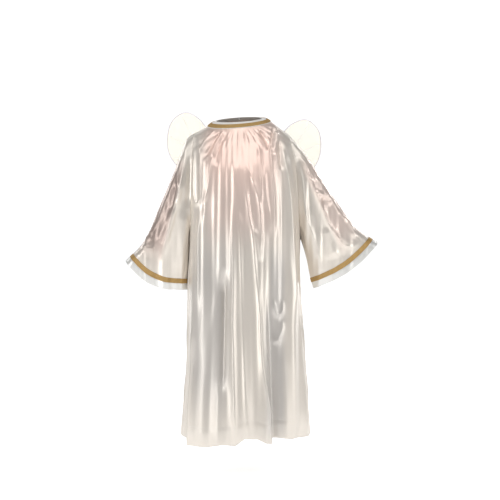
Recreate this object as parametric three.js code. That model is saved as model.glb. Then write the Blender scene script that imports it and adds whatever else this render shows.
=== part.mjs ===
// A child's angel costume: a long satin robe with bell sleeves, gold braid and small gauze wings.
// Millimetres, +Z up. The front faces -Y and the wearer's left is at +X.
// The origin is midway between the shoulders, level with the front of the neck seam.
import * as THREE from "three"

// Cloth and making
const clothWall = 1.6
const bandWall = 2.0
const braidWall = 2.2
const seamGap = 0.3
const restGap = 0.3

// Heights, from the shoulders down
const underarmHeight = -331
const hemHeight = -945

// Grid sizes: rows above and below the underarm, columns of each piece
const armRows = 13
const skirtRows = 13
const frontColumns = 42
const backColumns = 18
const shoulderColumns = 4
const sleeveRings = 12
const bandRows = 2

// Neck: two ovals round the same centre, the seam with the panels and the finished edge.
// The height of each follows middle - rise * cos(turn) + tilt * sin(turn), with 0 at the front.
const neckCentre = { x: -6, y: -5 }
const neckSeam = { halfWidth: 100, front: 66, back: 62, middle: 17.5, rise: 20.5, tilt: 8 }
const neckEdge = { halfWidth: 71, front: 46, back: 46, middle: 31, rise: 13, tilt: 4.5 }
const bandBow = 3

// Ends of the shoulder seams
const shoulderTip = { right: new THREE.Vector3(-142, 0, -10), left: new THREE.Vector3(150, 0, -17) }

// Body sections. level 0 is the shoulder, 1 the underarm and 2 the hem; right and left are the
// side edges, front and back the middle depths, turn the angle that half a section runs through.
const bodySections = [
  { level: 0.0, right: -142, left: 150, front: -80, back: 68, turn: 58 },
  { level: 0.18, right: -148, left: 161, front: -98, back: 82, turn: 62 },
  { level: 0.45, right: -151, left: 172, front: -114, back: 94, turn: 70 },
  { level: 1.0, right: -156, left: 181, front: -126, back: 102, turn: 90 },
  { level: 1.25, right: -165, left: 184, front: -132, back: 110, turn: 90 },
  { level: 1.6, right: -167, left: 198, front: -140, back: 126, turn: 90 },
  { level: 2.0, right: -186, left: 214, front: -150, back: 150, turn: 90 },
]

// Level at which the cloth has spread from the neck seam to the full section, how square a
// section is (1 would be a plain arc), and how much closer the rows are over the shoulder
const yokeLevel = 0.4
const sectionPower = 0.86
const rowPower = 1.25

// Armhole: half its depth from front to back, by level
const armholeDepth = [
  { level: 0.0, half: 0 },
  { level: 0.04, half: 30 },
  { level: 0.12, half: 44 },
  { level: 0.35, half: 54 },
  { level: 0.6, half: 52 },
  { level: 0.85, half: 37 },
  { level: 0.95, half: 21 },
  { level: 1.0, half: 0 },
]

// The same half depth as the cloth beside the armhole and below it keeps, and how fast a section
// passes from its edge to that
const besideArmhole = [
  { level: 0.0, half: 0 },
  { level: 0.04, half: 30 },
  { level: 0.12, half: 44 },
  { level: 0.35, half: 54 },
  { level: 0.6, half: 52 },
  { level: 1.0, half: 32 },
  { level: 1.35, half: 10 },
  { level: 1.7, half: 0 },
]
const edgePower = 3

// A sleeve's section is round over the arm as far as the first of these shares of its height,
// and round at its foot from the second one down
const sleeveRound = { top: 0.12, foot: 0.72 }

// Sleeves: the line over the arm and the line of the underarm seam, from armhole to cuff.
// depth is half the sleeve's thickness, set is how far it lies back, and bow is how far the
// middle of the cuff hangs below the straight line between its corners.
const sleeves = {
  right: {
    top: [[-142, -10], [-166, -26], [-179, -56], [-200, -112], [-253, -240], [-307, -354], [-360, -409]],
    bottom: [[-156, -331], [-162, -342], [-165, -400], [-168, -448], [-170, -497]],
    depth: [53, 30],
    set: [0, 8],
    bow: 32,
  },
  left: {
    top: [[150, -17], [190, -64], [234, -128], [304, -232], [346, -292], [380, -324], [426, -352]],
    bottom: [[181, -331], [190, -350], [203, -400], [213, -450], [226, -493]],
    depth: [53, 32],
    set: [0, 0],
    bow: 20,
  },
}

// Folds that stand out from the cloth (or sink in, where out is negative). Each runs through
// the points of path, given as x and z seen from the front; wide is its half width and out its
// height, at the top and at the bottom.
const frontFolds = [
  { path: [[-68, -24], [-104, -84], [-112, -130]], wide: [7, 9], out: [5, 5] },
  { path: [[-46, -22], [-78, -105], [-88, -160]], wide: [7, 10], out: [5, 4] },
  { path: [[-141, -70], [-139, -236]], wide: [6, 6], out: [5, 5] },
  { path: [[-121, -66], [-122, -225]], wide: [6, 6], out: [5, 5] },
  { path: [[-97, -123], [-115, -225], [-130, -353], [-136, -640]], wide: [9, 13], out: [6, 11] },
  { path: [[-11, -80], [-17, -159], [-25, -269], [-21, -493], [-17, -945]], wide: [8, 11], out: [6, 20] },
  { path: [[4, -100], [26, -269], [44, -493], [72, -850], [74, -945]], wide: [8, 11], out: [7, 24] },
  { path: [[30, -60], [46, -225], [60, -400]], wide: [8, 8], out: [5, 5] },
  { path: [[62, -60], [76, -160], [82, -300]], wide: [7, 8], out: [5, 5] },
  { path: [[55, -22], [86, -72], [94, -141], [101, -320]], wide: [7, 9], out: [5, 7] },
  { path: [[118, -54], [125, -123]], wide: [7, 7], out: [-6, -6] },
  { path: [[137, -90], [152, -316], [164, -640], [174, -945]], wide: [8, 11], out: [7, 22] },
  { path: [[-53, -440], [-53, -800]], wide: [7, 8], out: [-8, -8] },
  { path: [[100, -545], [124, -574], [116, -650]], wide: [9, 9], out: [7, 7] },
  { path: [[126, -650], [132, -945]], wide: [9, 11], out: [5, 14] },
  { path: [[168, -70], [200, -140], [267, -285], [330, -360]], wide: [10, 13], out: [7, 8] },
  { path: [[184, -135], [200, -297], [218, -400], [240, -470]], wide: [8, 12], out: [6, 8] },
  { path: [[215, -150], [258, -320], [290, -410]], wide: [9, 12], out: [4, 8] },
  { path: [[-150, -113], [-212, -260], [-290, -400]], wide: [9, 13], out: [6, 9] },
  { path: [[-150, -190], [-182, -310], [-222, -440]], wide: [9, 12], out: [5, 9] },
]
const backFolds = [
  { path: [[-60, -90], [-84, -500], [-104, -945]], wide: [10, 13], out: [5, 18] },
  { path: [[-30, -60], [-40, -480], [-52, -945]], wide: [9, 12], out: [4, 16] },
  { path: [[26, -70], [44, -500], [60, -945]], wide: [10, 13], out: [5, 18] },
  { path: [[64, -100], [92, -480], [112, -945]], wide: [10, 12], out: [5, 17] },
  { path: [[118, -120], [146, -480], [166, -945]], wide: [9, 12], out: [5, 14] },
  { path: [[-108, -110], [-128, -480], [-148, -945]], wide: [9, 12], out: [5, 14] },
  { path: [[175, -90], [262, -300], [330, -370]], wide: [10, 13], out: [6, 8] },
  { path: [[178, -170], [214, -330], [250, -450]], wide: [9, 12], out: [5, 8] },
  { path: [[-155, -110], [-214, -270], [-286, -396]], wide: [10, 13], out: [6, 9] },
  { path: [[-152, -200], [-186, -330], [-220, -440]], wide: [9, 12], out: [5, 8] },
]

// Folds die away towards the neck seam, between two levels, and where the cloth turns to face
// sideways, between two values of its normal's share towards the front or the back
const foldStart = [0.02, 0.14]
const foldFacing = [0.12, 0.6]

// The middle of the front hangs forward as one wide fold between two sharp edges, given at the
// height where it starts and at the hem.
const forwardFold = { start: -520, rightEdge: [-149, -143], leftEdge: [78, 90], edge: 7, out: 34 }

// Braid: where it lies across the neckband and along the sleeve, as fractions of each
const neckBraidSpan = [0.5, 0.92]
const cuffBraid = { fromEdge: 20, wide: 14 }

// Wings: one teardrop outline in steps outward and up from the hub, mirrored for the other side,
// both leaning a few degrees together. They lie flat on the pad, then sweep back.
const wing = {
  hub: { x: 2, z: -140 },
  lean: -3.4,
  sweep: 11,
  flatHub: 30,
  wire: 3.2,
  gauze: 1,
  outline: [[10, -14], [60, -22], [130, -12], [202, 18], [240, 62], [251, 112], [238, 172], [196, 201],
    [150, 182], [100, 120], [52, 58], [10, 22]],
  steps: 46,
}
const padRows = [5, 8]
const padColumns = 2
const padDepth = 5

const gold = new THREE.MeshStandardMaterial({ color: 0xb48a3c, roughness: 0.5, metalness: 0.35 })
const satin = new THREE.MeshStandardMaterial({ color: 0xf2e8e0, roughness: 0.32, metalness: 0 })
const bandCloth = new THREE.MeshStandardMaterial({ color: 0xf6f1ec, roughness: 0.5, metalness: 0 })
const gauze = new THREE.MeshStandardMaterial({ color: 0xf6f0e6, roughness: 0.6, metalness: 0 })
const wrappedWire = new THREE.MeshStandardMaterial({ color: 0xd8d4dc, roughness: 0.5, metalness: 0 })

const radians = THREE.MathUtils.degToRad
const mix = THREE.MathUtils.lerp
const smooth = THREE.MathUtils.smoothstep

// Value of a table's column at a level, as a smooth curve through the rows that never overshoots
function tableValue(table, key, column, at) {
  const last = table.length - 1
  let row = 0
  while (row < last - 1 && at > table[row + 1][key]) row += 1
  const slope = (i) => {
    const before = table[Math.max(i - 1, 0)]
    const after = table[Math.min(i + 1, last)]
    return (after[column] - before[column]) / (after[key] - before[key])
  }
  const from = table[row]
  const to = table[row + 1]
  const span = to[key] - from[key]
  const t = THREE.MathUtils.clamp((at - from[key]) / span, 0, 1)
  const rise = to[column] - from[column]
  const steepest = 3 * Math.abs(rise) / span
  const limit = (value) => Math.sign(rise) * THREE.MathUtils.clamp(value * Math.sign(rise), 0, steepest)
  const start = limit(slope(row)) * span
  const end = limit(slope(row + 1)) * span
  const bend = 3 * rise - 2 * start - end
  return from[column] + start * t + bend * t * t + (start + end - 2 * rise) * t * t * t
}

// Levels of the rows: closer together over the shoulder, even below the underarm
const armLevel = (row) => (row / armRows) ** rowPower
const rowLevels = [
  ...Array.from({ length: armRows + 1 }, (_, row) => armLevel(row)),
  ...Array.from({ length: skirtRows }, (_, row) => 1 + (row + 1) / skirtRows),
]

// A point on one of the neck ovals; turn 0 is the front and 90 the wearer's left
function neckPoint(oval, turn) {
  const angle = radians(turn)
  const depth = Math.cos(angle) > 0 ? oval.front : oval.back
  return new THREE.Vector3(
    neckCentre.x + oval.halfWidth * Math.sin(angle),
    neckCentre.y - depth * Math.cos(angle),
    oval.middle - oval.rise * Math.cos(angle) + oval.tilt * Math.sin(angle),
  )
}

// A point on the armhole seam, facing -1 for the front and 1 for the back
function armholePoint(side, level, facing) {
  const half = tableValue(armholeDepth, "level", "half", level)
  return new THREE.Vector3(
    tableValue(bodySections, "level", side, level),
    facing * half,
    mix(shoulderTip[side].z, underarmHeight, level),
  )
}

// A point of a body section. across runs from -1 at the wearer's right to 1 at the left.
function sectionPoint(level, across, facing) {
  const read = (column) => tableValue(bodySections, "level", column, level)
  const right = read("right")
  const left = read("left")
  const edge = level < 1 ? tableValue(armholeDepth, "level", "half", level) : 0
  const beside = tableValue(besideArmhole, "level", "half", level)
  const depth = Math.abs(read(facing < 0 ? "front" : "back"))
  const turn = radians(read("turn"))
  const angle = across * turn
  const bulge = Math.max((Math.cos(angle) - Math.cos(turn)) / (1 - Math.cos(turn)), 0) ** sectionPower
  const half = mix(beside, edge, (1 - bulge) ** edgePower)
  return new THREE.Vector3(
    (right + left) / 2 + (left - right) / 2 * Math.sin(angle) / Math.sin(turn),
    facing * (half + (depth - half) * bulge),
    0,
  )
}

// A point of the body's smooth form, drawn in to the top seam at its upper end
function bodyPoint(level, across, facing, topPoint) {
  const point = sectionPoint(level, across, facing)
  point.z = level < 1 ? mix(topPoint.z, underarmHeight, level) : mix(underarmHeight, hemHeight, level - 1)
  const fade = Math.max(1 - level / yokeLevel, 0) ** 2
  const top = sectionPoint(0, across, facing)
  point.x += (topPoint.x - top.x) * fade
  point.y += (topPoint.y - top.y) * fade
  return point
}

// A grid of points for a body panel whose columns run over the list of { across, top }
function bodyGrid(columns, facing) {
  return {
    closed: false,
    points: rowLevels.map((level) => columns.map(({ across, top }) => {
      const side = across < 0 ? "right" : "left"
      if (Math.abs(across) === 1 && level < 1) return armholePoint(side, level, facing)
      return bodyPoint(level, across, facing, top)
    })),
  }
}

// Columns of a panel that has a shoulder seam at one end or both, then the neck arc.
// side edges are at across -1 and 1; the neck points are at the turns from -90 to 90.
function panelColumns(count, fromAcross, toAcross, back) {
  return Array.from({ length: count + 1 }, (_, column) => {
    const across = mix(fromAcross, toAcross, column / count)
    const neckShare = 1 - shoulderColumns * Math.abs(toAcross - fromAcross) / count
    const side = across < 0 ? "right" : "left"
    if (Math.abs(across) <= neckShare + 1e-9) {
      const turn = 90 * across / neckShare
      const round = back ? 180 - turn : turn
      return { across, turn: round, top: neckPoint(neckSeam, round) }
    }
    const share = (Math.abs(across) - neckShare) / (1 - neckShare)
    const neckEnd = neckPoint(neckSeam, side === "right" ? -90 : 90)
    return { across, top: neckEnd.lerp(shoulderTip[side], share) }
  })
}

// A smooth curve through a sleeve line's points
function lineCurve(line) {
  return new THREE.CatmullRomCurve3(line.map(([x, z]) => new THREE.Vector3(x, 0, z)), false, "centripetal")
}

// A sleeve: rings from the armhole to the cuff. Each ring hangs between the line over the arm and
// the underarm line, as thick as the arm at the top and rounded at the bottom.
function sleeveGrid(side) {
  const sleeve = sleeves[side]
  const top = lineCurve(sleeve.top)
  const bottom = lineCurve(sleeve.bottom)
  const levels = rowLevels.slice(0, armRows + 1)
  const loop = [
    ...levels.map((level) => ({ level, facing: -1 })),
    ...levels.slice(1, -1).reverse().map((level) => ({ level, facing: 1 })),
  ]
  if (side === "left") loop.reverse()
  const reach = [top.getLength(), bottom.getLength()]
  const cuffLine = bottom.getPoint(1).sub(top.getPoint(1)).normalize()
  const bowWay = new THREE.Vector3(-Math.abs(cuffLine.z) * Math.sign(cuffLine.x), 0, -Math.abs(cuffLine.x))
  const fromCuff = [cuffBraid.fromEdge + cuffBraid.wide, cuffBraid.fromEdge, 0]
  const evenRings = sleeveRings - fromCuff.length + 1
  const rings = Array.from({ length: sleeveRings + 1 }, (_, ring) => loop.map(({ level, facing }) => {
    const seam = armholePoint(side, level, facing)
    if (ring === 0) return seam
    const length = mix(reach[0], reach[1], level)
    const along = ring < evenRings
      ? ring / evenRings * (1 - fromCuff[0] / length)
      : 1 - fromCuff[ring - evenRings] / length
    const hang = top.getPointAt(along).lerp(bottom.getPointAt(along), level)
    const start = shoulderTip[side].clone().lerp(bottom.getPointAt(0), level)
    const thick = mix(sleeve.depth[0], sleeve.depth[1], along)
    const keep = (1 - along) ** 2
    const roundTop = Math.sqrt(1 - (1 - Math.min(level / sleeveRound.top, 1)) ** 2)
    const footShare = (level - sleeveRound.foot) / (1 - sleeveRound.foot)
    const roundFoot = Math.sqrt(1 - Math.max(footShare, 0) ** 2)
    hang.x += (seam.x - start.x) * keep
    hang.addScaledVector(bowWay, sleeve.bow * Math.sin(Math.PI * level) * along ** 2)
    hang.y = mix(facing * thick * roundTop * roundFoot, seam.y, keep)
    hang.y += mix(sleeve.set[0], sleeve.set[1], along)
    return hang
  }))
  return { closed: true, points: rings }
}

// The neckband: rows from the neck edge down to the seam, columns from the back round the front
function neckbandGrid(turns) {
  return {
    closed: false,
    points: Array.from({ length: bandRows + 1 }, (_, row) => turns.map((turn) => {
      const down = row / bandRows
      const point = neckPoint(neckEdge, turn).lerp(neckPoint(neckSeam, turn), down)
      point.z += bandBow * Math.sin(Math.PI * down)
      return point
    })),
  }
}

const key = (point) => [point.x, point.y, point.z].map((value) => Math.round(value * 100)).join(" ")

// Normals of several grids together, the same on both sides of each seam
function sharedNormals(grids) {
  const sums = new Map()
  const add = (point, normal) => {
    const name = key(point)
    if (!sums.has(name)) sums.set(name, new THREE.Vector3())
    sums.get(name).add(normal)
  }
  grids.forEach(({ points, closed }) => {
    const width = points[0].length
    for (let row = 0; row < points.length - 1; row += 1) {
      for (let column = 0; column < (closed ? width : width - 1); column += 1) {
        const next = (column + 1) % width
        const corners = [[row, column], [row + 1, column], [row + 1, next], [row, next]]
          .map(([i, j]) => points[i][j])
        const down = corners[1].clone().add(corners[2]).sub(corners[0]).sub(corners[3])
        const across = corners[2].clone().add(corners[3]).sub(corners[0]).sub(corners[1])
        const normal = down.cross(across)
        corners.forEach((corner) => add(corner, normal))
      }
    }
  })
  const normalAt = (point) => sums.get(key(point)).clone().normalize()
  return grids.map(({ points }) => points.map((row) => row.map(normalAt)))
}

// Distance from a point seen from the front to a fold's path, and how far along the path it is
function alongPath(path, x, z) {
  const lengths = path.slice(1).map((end, i) => Math.hypot(end[0] - path[i][0], end[1] - path[i][1]))
  const whole = lengths.reduce((sum, length) => sum + length, 0)
  let best = { away: Infinity, share: 0 }
  let passed = 0
  lengths.forEach((length, i) => {
    const [x0, z0] = path[i]
    const [x1, z1] = path[i + 1]
    const t = THREE.MathUtils.clamp(((x - x0) * (x1 - x0) + (z - z0) * (z1 - z0)) / length ** 2, 0, 1)
    const away = Math.hypot(x - mix(x0, x1, t), z - mix(z0, z1, t))
    if (away < best.away) best = { away, share: (passed + t * length) / whole }
    passed += length
  })
  return best
}

// Height of all the folds at a point, seen from the front or the back
function foldHeight(point, facing) {
  let height = 0
  for (const fold of facing < 0 ? frontFolds : backFolds) {
    const { away, share } = alongPath(fold.path, point.x, point.z)
    const wide = mix(fold.wide[0], fold.wide[1], share)
    height += mix(fold.out[0], fold.out[1], share) * Math.exp(-((away / wide) ** 2))
  }
  const drop = THREE.MathUtils.clamp((forwardFold.start - point.z) / (forwardFold.start - hemHeight), 0, 1)
  if (facing < 0 && drop > 0) {
    const rightEdge = mix(forwardFold.rightEdge[0], forwardFold.rightEdge[1], drop)
    const leftEdge = mix(forwardFold.leftEdge[0], forwardFold.leftEdge[1], drop)
    const inside = smooth(point.x, rightEdge - forwardFold.edge, rightEdge + forwardFold.edge)
      * smooth(-point.x, -leftEdge - forwardFold.edge, -leftEdge + forwardFold.edge)
    height += forwardFold.out * smooth(drop, 0, 1) * inside
  }
  return height
}

// Moves a grid's points out by the folds, which die away at the neck and at the side seams
function fold(grid, normals) {
  const points = grid.points.map((row, i) => row.map((point, j) => {
    const normal = normals[i][j]
    const facing = normal.y < 0 ? -1 : 1
    const level = grid.closed ? 1 : smooth(rowLevels[i], ...foldStart)
    const reach = smooth(Math.abs(normal.y), ...foldFacing) * level
    if (reach === 0) return point.clone()
    return point.clone().addScaledVector(normal, foldHeight(point, facing) * reach)
  }))
  return { ...grid, points }
}

// Points of a grid after each outer edge has drawn back from its seam, half the gap from each side
function partEdges(grid, normals, edges) {
  const { points, closed } = grid
  const height = points.length
  const width = points[0].length
  return points.map((row, i) => row.map((point, j) => {
    const moved = point.clone()
    const draw = (tangent, towards) => {
      const inward = normals[i][j].clone().cross(tangent).normalize()
      if (inward.dot(towards) < 0) inward.negate()
      moved.addScaledVector(inward, seamGap / 2)
    }
    if ((i === 0 && edges.top) || (i === height - 1 && edges.bottom)) {
      const before = row[closed ? (j + width - 1) % width : Math.max(j - 1, 0)]
      const after = row[closed ? (j + 1) % width : Math.min(j + 1, width - 1)]
      draw(after.clone().sub(before), points[i === 0 ? 1 : i - 1][j].clone().sub(point))
    }
    if (!closed && ((j === 0 && edges.start) || (j === width - 1 && edges.end))) {
      const tangent = points[Math.min(i + 1, height - 1)][j].clone().sub(points[Math.max(i - 1, 0)][j])
      draw(tangent, row[j === 0 ? 1 : j - 1].clone().sub(point))
    }
    return moved
  }))
}

// A closed wall between an outer and an inner sheet of points
function wallGeometry(outer, inner, closed) {
  const height = outer.length
  const width = outer[0].length
  const count = height * width
  const positions = [...outer.flat(), ...inner.flat()].flatMap((point) => [point.x, point.y, point.z])
  const at = (row, column, sheet) => sheet * count + row * width + (column % width)
  const index = []
  const place = (i) => new THREE.Vector3(...positions.slice(3 * i, 3 * i + 3))
  // An edge face is split along its shorter diagonal, so that both sides of a seam match
  const quad = (a, b, c, d) => {
    if (place(a).distanceTo(place(c)) <= place(b).distanceTo(place(d))) index.push(a, b, c, a, c, d)
    else index.push(a, b, d, b, c, d)
  }
  const last = closed ? width : width - 1
  for (let row = 0; row < height - 1; row += 1) {
    for (let column = 0; column < last; column += 1) {
      const corners = (sheet) => [at(row, column, sheet), at(row + 1, column, sheet),
        at(row + 1, column + 1, sheet), at(row, column + 1, sheet)]
      const [a, b, c, d] = corners(0)
      const [e, f, g, h] = corners(1)
      index.push(a, b, c, a, c, d, e, g, f, e, h, g)
    }
  }
  for (let column = 0; column < last; column += 1) {
    const next = column + 1
    const foot = height - 1
    quad(at(0, column, 0), at(0, next, 0), at(0, next, 1), at(0, column, 1))
    quad(at(foot, next, 0), at(foot, column, 0), at(foot, column, 1), at(foot, next, 1))
  }
  for (let row = 0; row < height - 1 && !closed; row += 1) {
    const next = row + 1
    const side = width - 1
    quad(at(next, 0, 0), at(row, 0, 0), at(row, 0, 1), at(next, 0, 1))
    quad(at(row, side, 0), at(next, side, 0), at(next, side, 1), at(row, side, 1))
  }
  const geometry = new THREE.BufferGeometry()
  geometry.setAttribute("position", new THREE.Float32BufferAttribute(positions, 3))
  geometry.setIndex(index)
  return geometry
}

const moveAlong = (points, normals, distance) => points.map((row, i) => (
  row.map((point, j) => point.clone().addScaledVector(normals[i][j], distance))))

function clothMesh(name, points, normals, closed, wall, material) {
  const geometry = wallGeometry(points, moveAlong(points, normals, -wall), closed)
  const mesh = new THREE.Mesh(geometry, material)
  mesh.name = name
  return mesh
}

// A strip that lies on a grid between two of its rows or on part of its columns, moved out
function layerMesh(name, points, normals, closed, thick, material) {
  const under = moveAlong(points, normals, restGap)
  const over = moveAlong(points, normals, restGap + thick)
  const mesh = new THREE.Mesh(wallGeometry(over, under, closed), material)
  mesh.name = name
  return mesh
}

// Reads points and normals between the rows of a grid, at a fractional row
function betweenRows(points, row) {
  const low = Math.min(Math.floor(row), points.length - 2)
  return points[low].map((point, j) => point.clone().lerp(points[low + 1][j], row - low))
}

// The robe's panels, sleeves and neckband as smooth forms that share their seam points
const frontList = panelColumns(frontColumns, -1, 1, false)
const backLeftList = panelColumns(backColumns, 1, 0, true)
const backRightList = panelColumns(backColumns, 0, -1, true)
const neckTurns = [
  ...backRightList.filter(({ turn }) => turn !== undefined).map(({ turn }) => turn - 360),
  ...frontList.filter(({ turn }) => turn !== undefined).slice(1, -1).map(({ turn }) => turn),
  ...backLeftList.filter(({ turn }) => turn !== undefined).map(({ turn }) => turn),
]
const smoothGrids = [
  bodyGrid(frontList, -1),
  bodyGrid(backLeftList, 1),
  bodyGrid(backRightList, 1),
  sleeveGrid("left"),
  sleeveGrid("right"),
  neckbandGrid(neckTurns),
]
const smoothNormals = sharedNormals(smoothGrids)
const grids = smoothGrids.map((grid, i) => (i < 5 ? fold(grid, smoothNormals[i]) : grid))
const normals = sharedNormals(grids)
const robePieces = [
  { name: "robe_front", edges: { top: true, start: true, end: true } },
  { name: "robe_back_left", edges: { top: true, start: true, end: true } },
  { name: "robe_back_right", edges: { top: true, start: true, end: true } },
  { name: "sleeve_left", edges: { top: true } },
  { name: "sleeve_right", edges: { top: true } },
  { name: "neckband", edges: { bottom: true, start: true, end: true } },
]

const costume = new THREE.Group()
const outerPoints = robePieces.map(({ edges }, i) => partEdges(grids[i], normals[i], edges))
robePieces.forEach(({ name }, i) => {
  const isBand = name === "neckband"
  costume.add(clothMesh(name, outerPoints[i], normals[i], grids[i].closed,
    isBand ? bandWall : clothWall, isBand ? bandCloth : satin))
})

// Gold braid round the neck
const braidRows = neckBraidSpan.map((share) => share * bandRows)
const braidPoints = braidRows.map((row) => betweenRows(outerPoints[5], row))
const braidAway = braidRows.map((row) => betweenRows(normals[5], row).map((normal) => normal.normalize()))
costume.add(layerMesh("neck_braid", braidPoints, braidAway, false, braidWall, gold))

// Gold braid round each cuff, a little above the edge
for (const [side, piece] of [["left", 3], ["right", 4]]) {
  const rings = [sleeveRings - 2, sleeveRings]
  const points = outerPoints[piece].slice(...rings)
  costume.add(layerMesh(`cuff_braid_${side}`, points, normals[piece].slice(...rings), true, braidWall, gold))
}

// Pad that holds the wings, over the centre back seam. It is made from the back panels' points
// and its own back is flat. Returns where that flat face lies.
function addWingPad() {
  const take = (source, columns) => source
    .slice(padRows[0], padRows[1] + 1)
    .map((row) => columns.map((j) => row[j]))
  const leftColumns = Array.from({ length: padColumns + 1 }, (_, i) => backColumns - padColumns + i)
  const rightColumns = Array.from({ length: padColumns }, (_, i) => i + 1)
  const join = (source) => {
    const left = take(source[1], leftColumns)
    const right = take(source[2], rightColumns)
    return left.map((row, i) => [...row, ...right[i]])
  }
  const under = moveAlong(join(outerPoints), join(normals), restGap)
  const backFace = Math.max(...under.flat().map((point) => point.y)) + padDepth
  const over = under.map((row) => row.map((point) => point.clone().setY(backFace)))
  const pad = new THREE.Mesh(wallGeometry(over, under, false), satin)
  pad.name = "wing_pad"
  costume.add(pad)
  return backFace
}
const wingPlane = addWingPad() + restGap + wing.wire / 2

// One wing's outline as a smooth closed curve in its own plane, swept back from the hub
function wingCurve(side) {
  const sign = side === "left" ? 1 : -1
  const lean = radians(wing.lean)
  const points = wing.outline.map(([out, up]) => {
    const x = sign * out
    return new THREE.Vector3(
      wing.hub.x + x * Math.cos(lean) - up * Math.sin(lean),
      wingPlane + Math.max(out - wing.flatHub, 0) * Math.tan(radians(wing.sweep)),
      wing.hub.z + x * Math.sin(lean) + up * Math.cos(lean),
    )
  })
  return new THREE.CatmullRomCurve3(points, true, "centripetal")
}

const middleOf = (points) => points
  .reduce((sum, point) => sum.add(point), new THREE.Vector3())
  .divideScalar(points.length)

// A closed tube round a loop of points, with its section kept square to the path
function loopTube(points, radius, sides) {
  const centre = middleOf(points)
  const rings = points.map((point, i) => {
    const before = points[(i + points.length - 1) % points.length]
    const after = points[(i + 1) % points.length]
    const along = after.clone().sub(before).normalize()
    const face = new THREE.Vector3(0, 1, 0)
    const out = along.clone().cross(face).normalize()
    if (out.dot(point.clone().sub(centre)) < 0) out.negate()
    const lift = along.clone().cross(out).normalize()
    return Array.from({ length: sides }, (_, k) => {
      const angle = 2 * Math.PI * k / sides
      return point.clone()
        .addScaledVector(out, radius * Math.cos(angle))
        .addScaledVector(lift, radius * Math.sin(angle))
    })
  })
  const index = []
  const at = (i, k) => (i % points.length) * sides + (k % sides)
  for (let i = 0; i < points.length; i += 1) {
    for (let k = 0; k < sides; k += 1) {
      index.push(at(i, k), at(i, k + 1), at(i + 1, k + 1), at(i, k), at(i + 1, k + 1), at(i + 1, k))
    }
  }
  return solidFrom(rings.flat(), index)
}

// A geometry whose faces point out, whichever way round they were listed
function solidFrom(points, index) {
  let volume = 0
  for (let i = 0; i < index.length; i += 3) {
    const [a, b, c] = [points[index[i]], points[index[i + 1]], points[index[i + 2]]]
    volume += a.dot(b.clone().cross(c))
  }
  const faces = volume > 0 ? index : index.map((_, i) => index[i - (i % 3) + (2 - (i % 3))])
  const positions = points.flatMap((point) => [point.x, point.y, point.z])
  const geometry = new THREE.BufferGeometry()
  geometry.setAttribute("position", new THREE.Float32BufferAttribute(positions, 3))
  geometry.setIndex(faces)
  return geometry
}

// The gauze inside a rim: a thin flat sheet that stops just short of the wire
function gauzeGeometry(points) {
  const inset = wing.wire / 2 + restGap
  const centre = middleOf(points)
  const sweep = Math.tan(radians(wing.sweep)) * Math.sign(centre.x - wing.hub.x)
  const inner = points.map((point, i) => {
    const before = points[(i + points.length - 1) % points.length]
    const after = points[(i + 1) % points.length]
    const along = after.clone().sub(before).normalize()
    const inward = along.clone().cross(new THREE.Vector3(0, 1, 0)).normalize()
    if (inward.dot(centre.clone().sub(point)) < 0) inward.negate()
    const moved = point.clone().addScaledVector(inward, inset)
    moved.y = point.y + (moved.x - point.x) * sweep
    return moved
  })
  const flat = inner.map((point) => new THREE.Vector2(point.x, point.z))
  const faces = THREE.ShapeUtils.triangulateShape(flat, [])
  const count = inner.length
  const shift = (distance) => inner.map((point) => point.clone().setY(point.y + distance))
  const index = faces.flatMap(([a, b, c]) => [a, b, c, count + c, count + b, count + a])
  const clockwise = THREE.ShapeUtils.area(flat) < 0
  for (let i = 0; i < count; i += 1) {
    const j = (i + 1) % count
    const [from, to] = clockwise ? [j, i] : [i, j]
    index.push(to, from, count + from, to, count + from, count + to)
  }
  return solidFrom([...shift(-wing.gauze / 2), ...shift(wing.gauze / 2)], index)
}

for (const side of ["left", "right"]) {
  const points = wingCurve(side).getSpacedPoints(wing.steps).slice(0, -1)
  const rim = new THREE.Mesh(loopTube(points, wing.wire / 2, 6), wrappedWire)
  rim.name = `wing_rim_${side}`
  const sheet = new THREE.Mesh(gauzeGeometry(points), gauze)
  sheet.name = `wing_gauze_${side}`
  costume.add(rim, sheet)
}

export default costume
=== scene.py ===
"""A child's angel costume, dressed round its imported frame.

A long satin robe with bell sleeves hangs as if worn, with gold braid at the neck and cuffs and
two small gauze wings behind the shoulders. Lengths in the tables are millimetres in the frame's
axes: x to the wearer's left, y to the back and z up. Meshes are made in metres.
"""

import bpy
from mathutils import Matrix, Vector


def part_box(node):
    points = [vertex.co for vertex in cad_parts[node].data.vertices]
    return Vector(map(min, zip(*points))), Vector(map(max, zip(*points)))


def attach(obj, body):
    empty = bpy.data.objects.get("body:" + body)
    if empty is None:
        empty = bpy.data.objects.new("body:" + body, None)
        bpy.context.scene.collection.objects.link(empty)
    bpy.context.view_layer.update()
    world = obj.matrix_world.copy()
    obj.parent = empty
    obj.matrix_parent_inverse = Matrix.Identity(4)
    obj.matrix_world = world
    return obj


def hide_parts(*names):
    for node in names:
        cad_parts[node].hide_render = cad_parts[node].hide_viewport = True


bl_info = {
    "name": "Angel costume",
    "version": (1, 0, 0),
    "blender": (4, 5, 0),
    "location": "View3D > Sidebar > Costume",
    "description": "A satin angel robe with bell sleeves, gold braid and gauze wings",
    "category": "Object",
}

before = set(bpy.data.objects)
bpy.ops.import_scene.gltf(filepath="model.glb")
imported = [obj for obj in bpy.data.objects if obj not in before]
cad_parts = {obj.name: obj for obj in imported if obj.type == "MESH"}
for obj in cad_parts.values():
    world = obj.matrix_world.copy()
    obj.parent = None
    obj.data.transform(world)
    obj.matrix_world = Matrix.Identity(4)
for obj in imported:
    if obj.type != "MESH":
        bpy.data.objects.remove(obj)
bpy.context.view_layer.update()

import math
from collections import namedtuple
from functools import lru_cache

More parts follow.
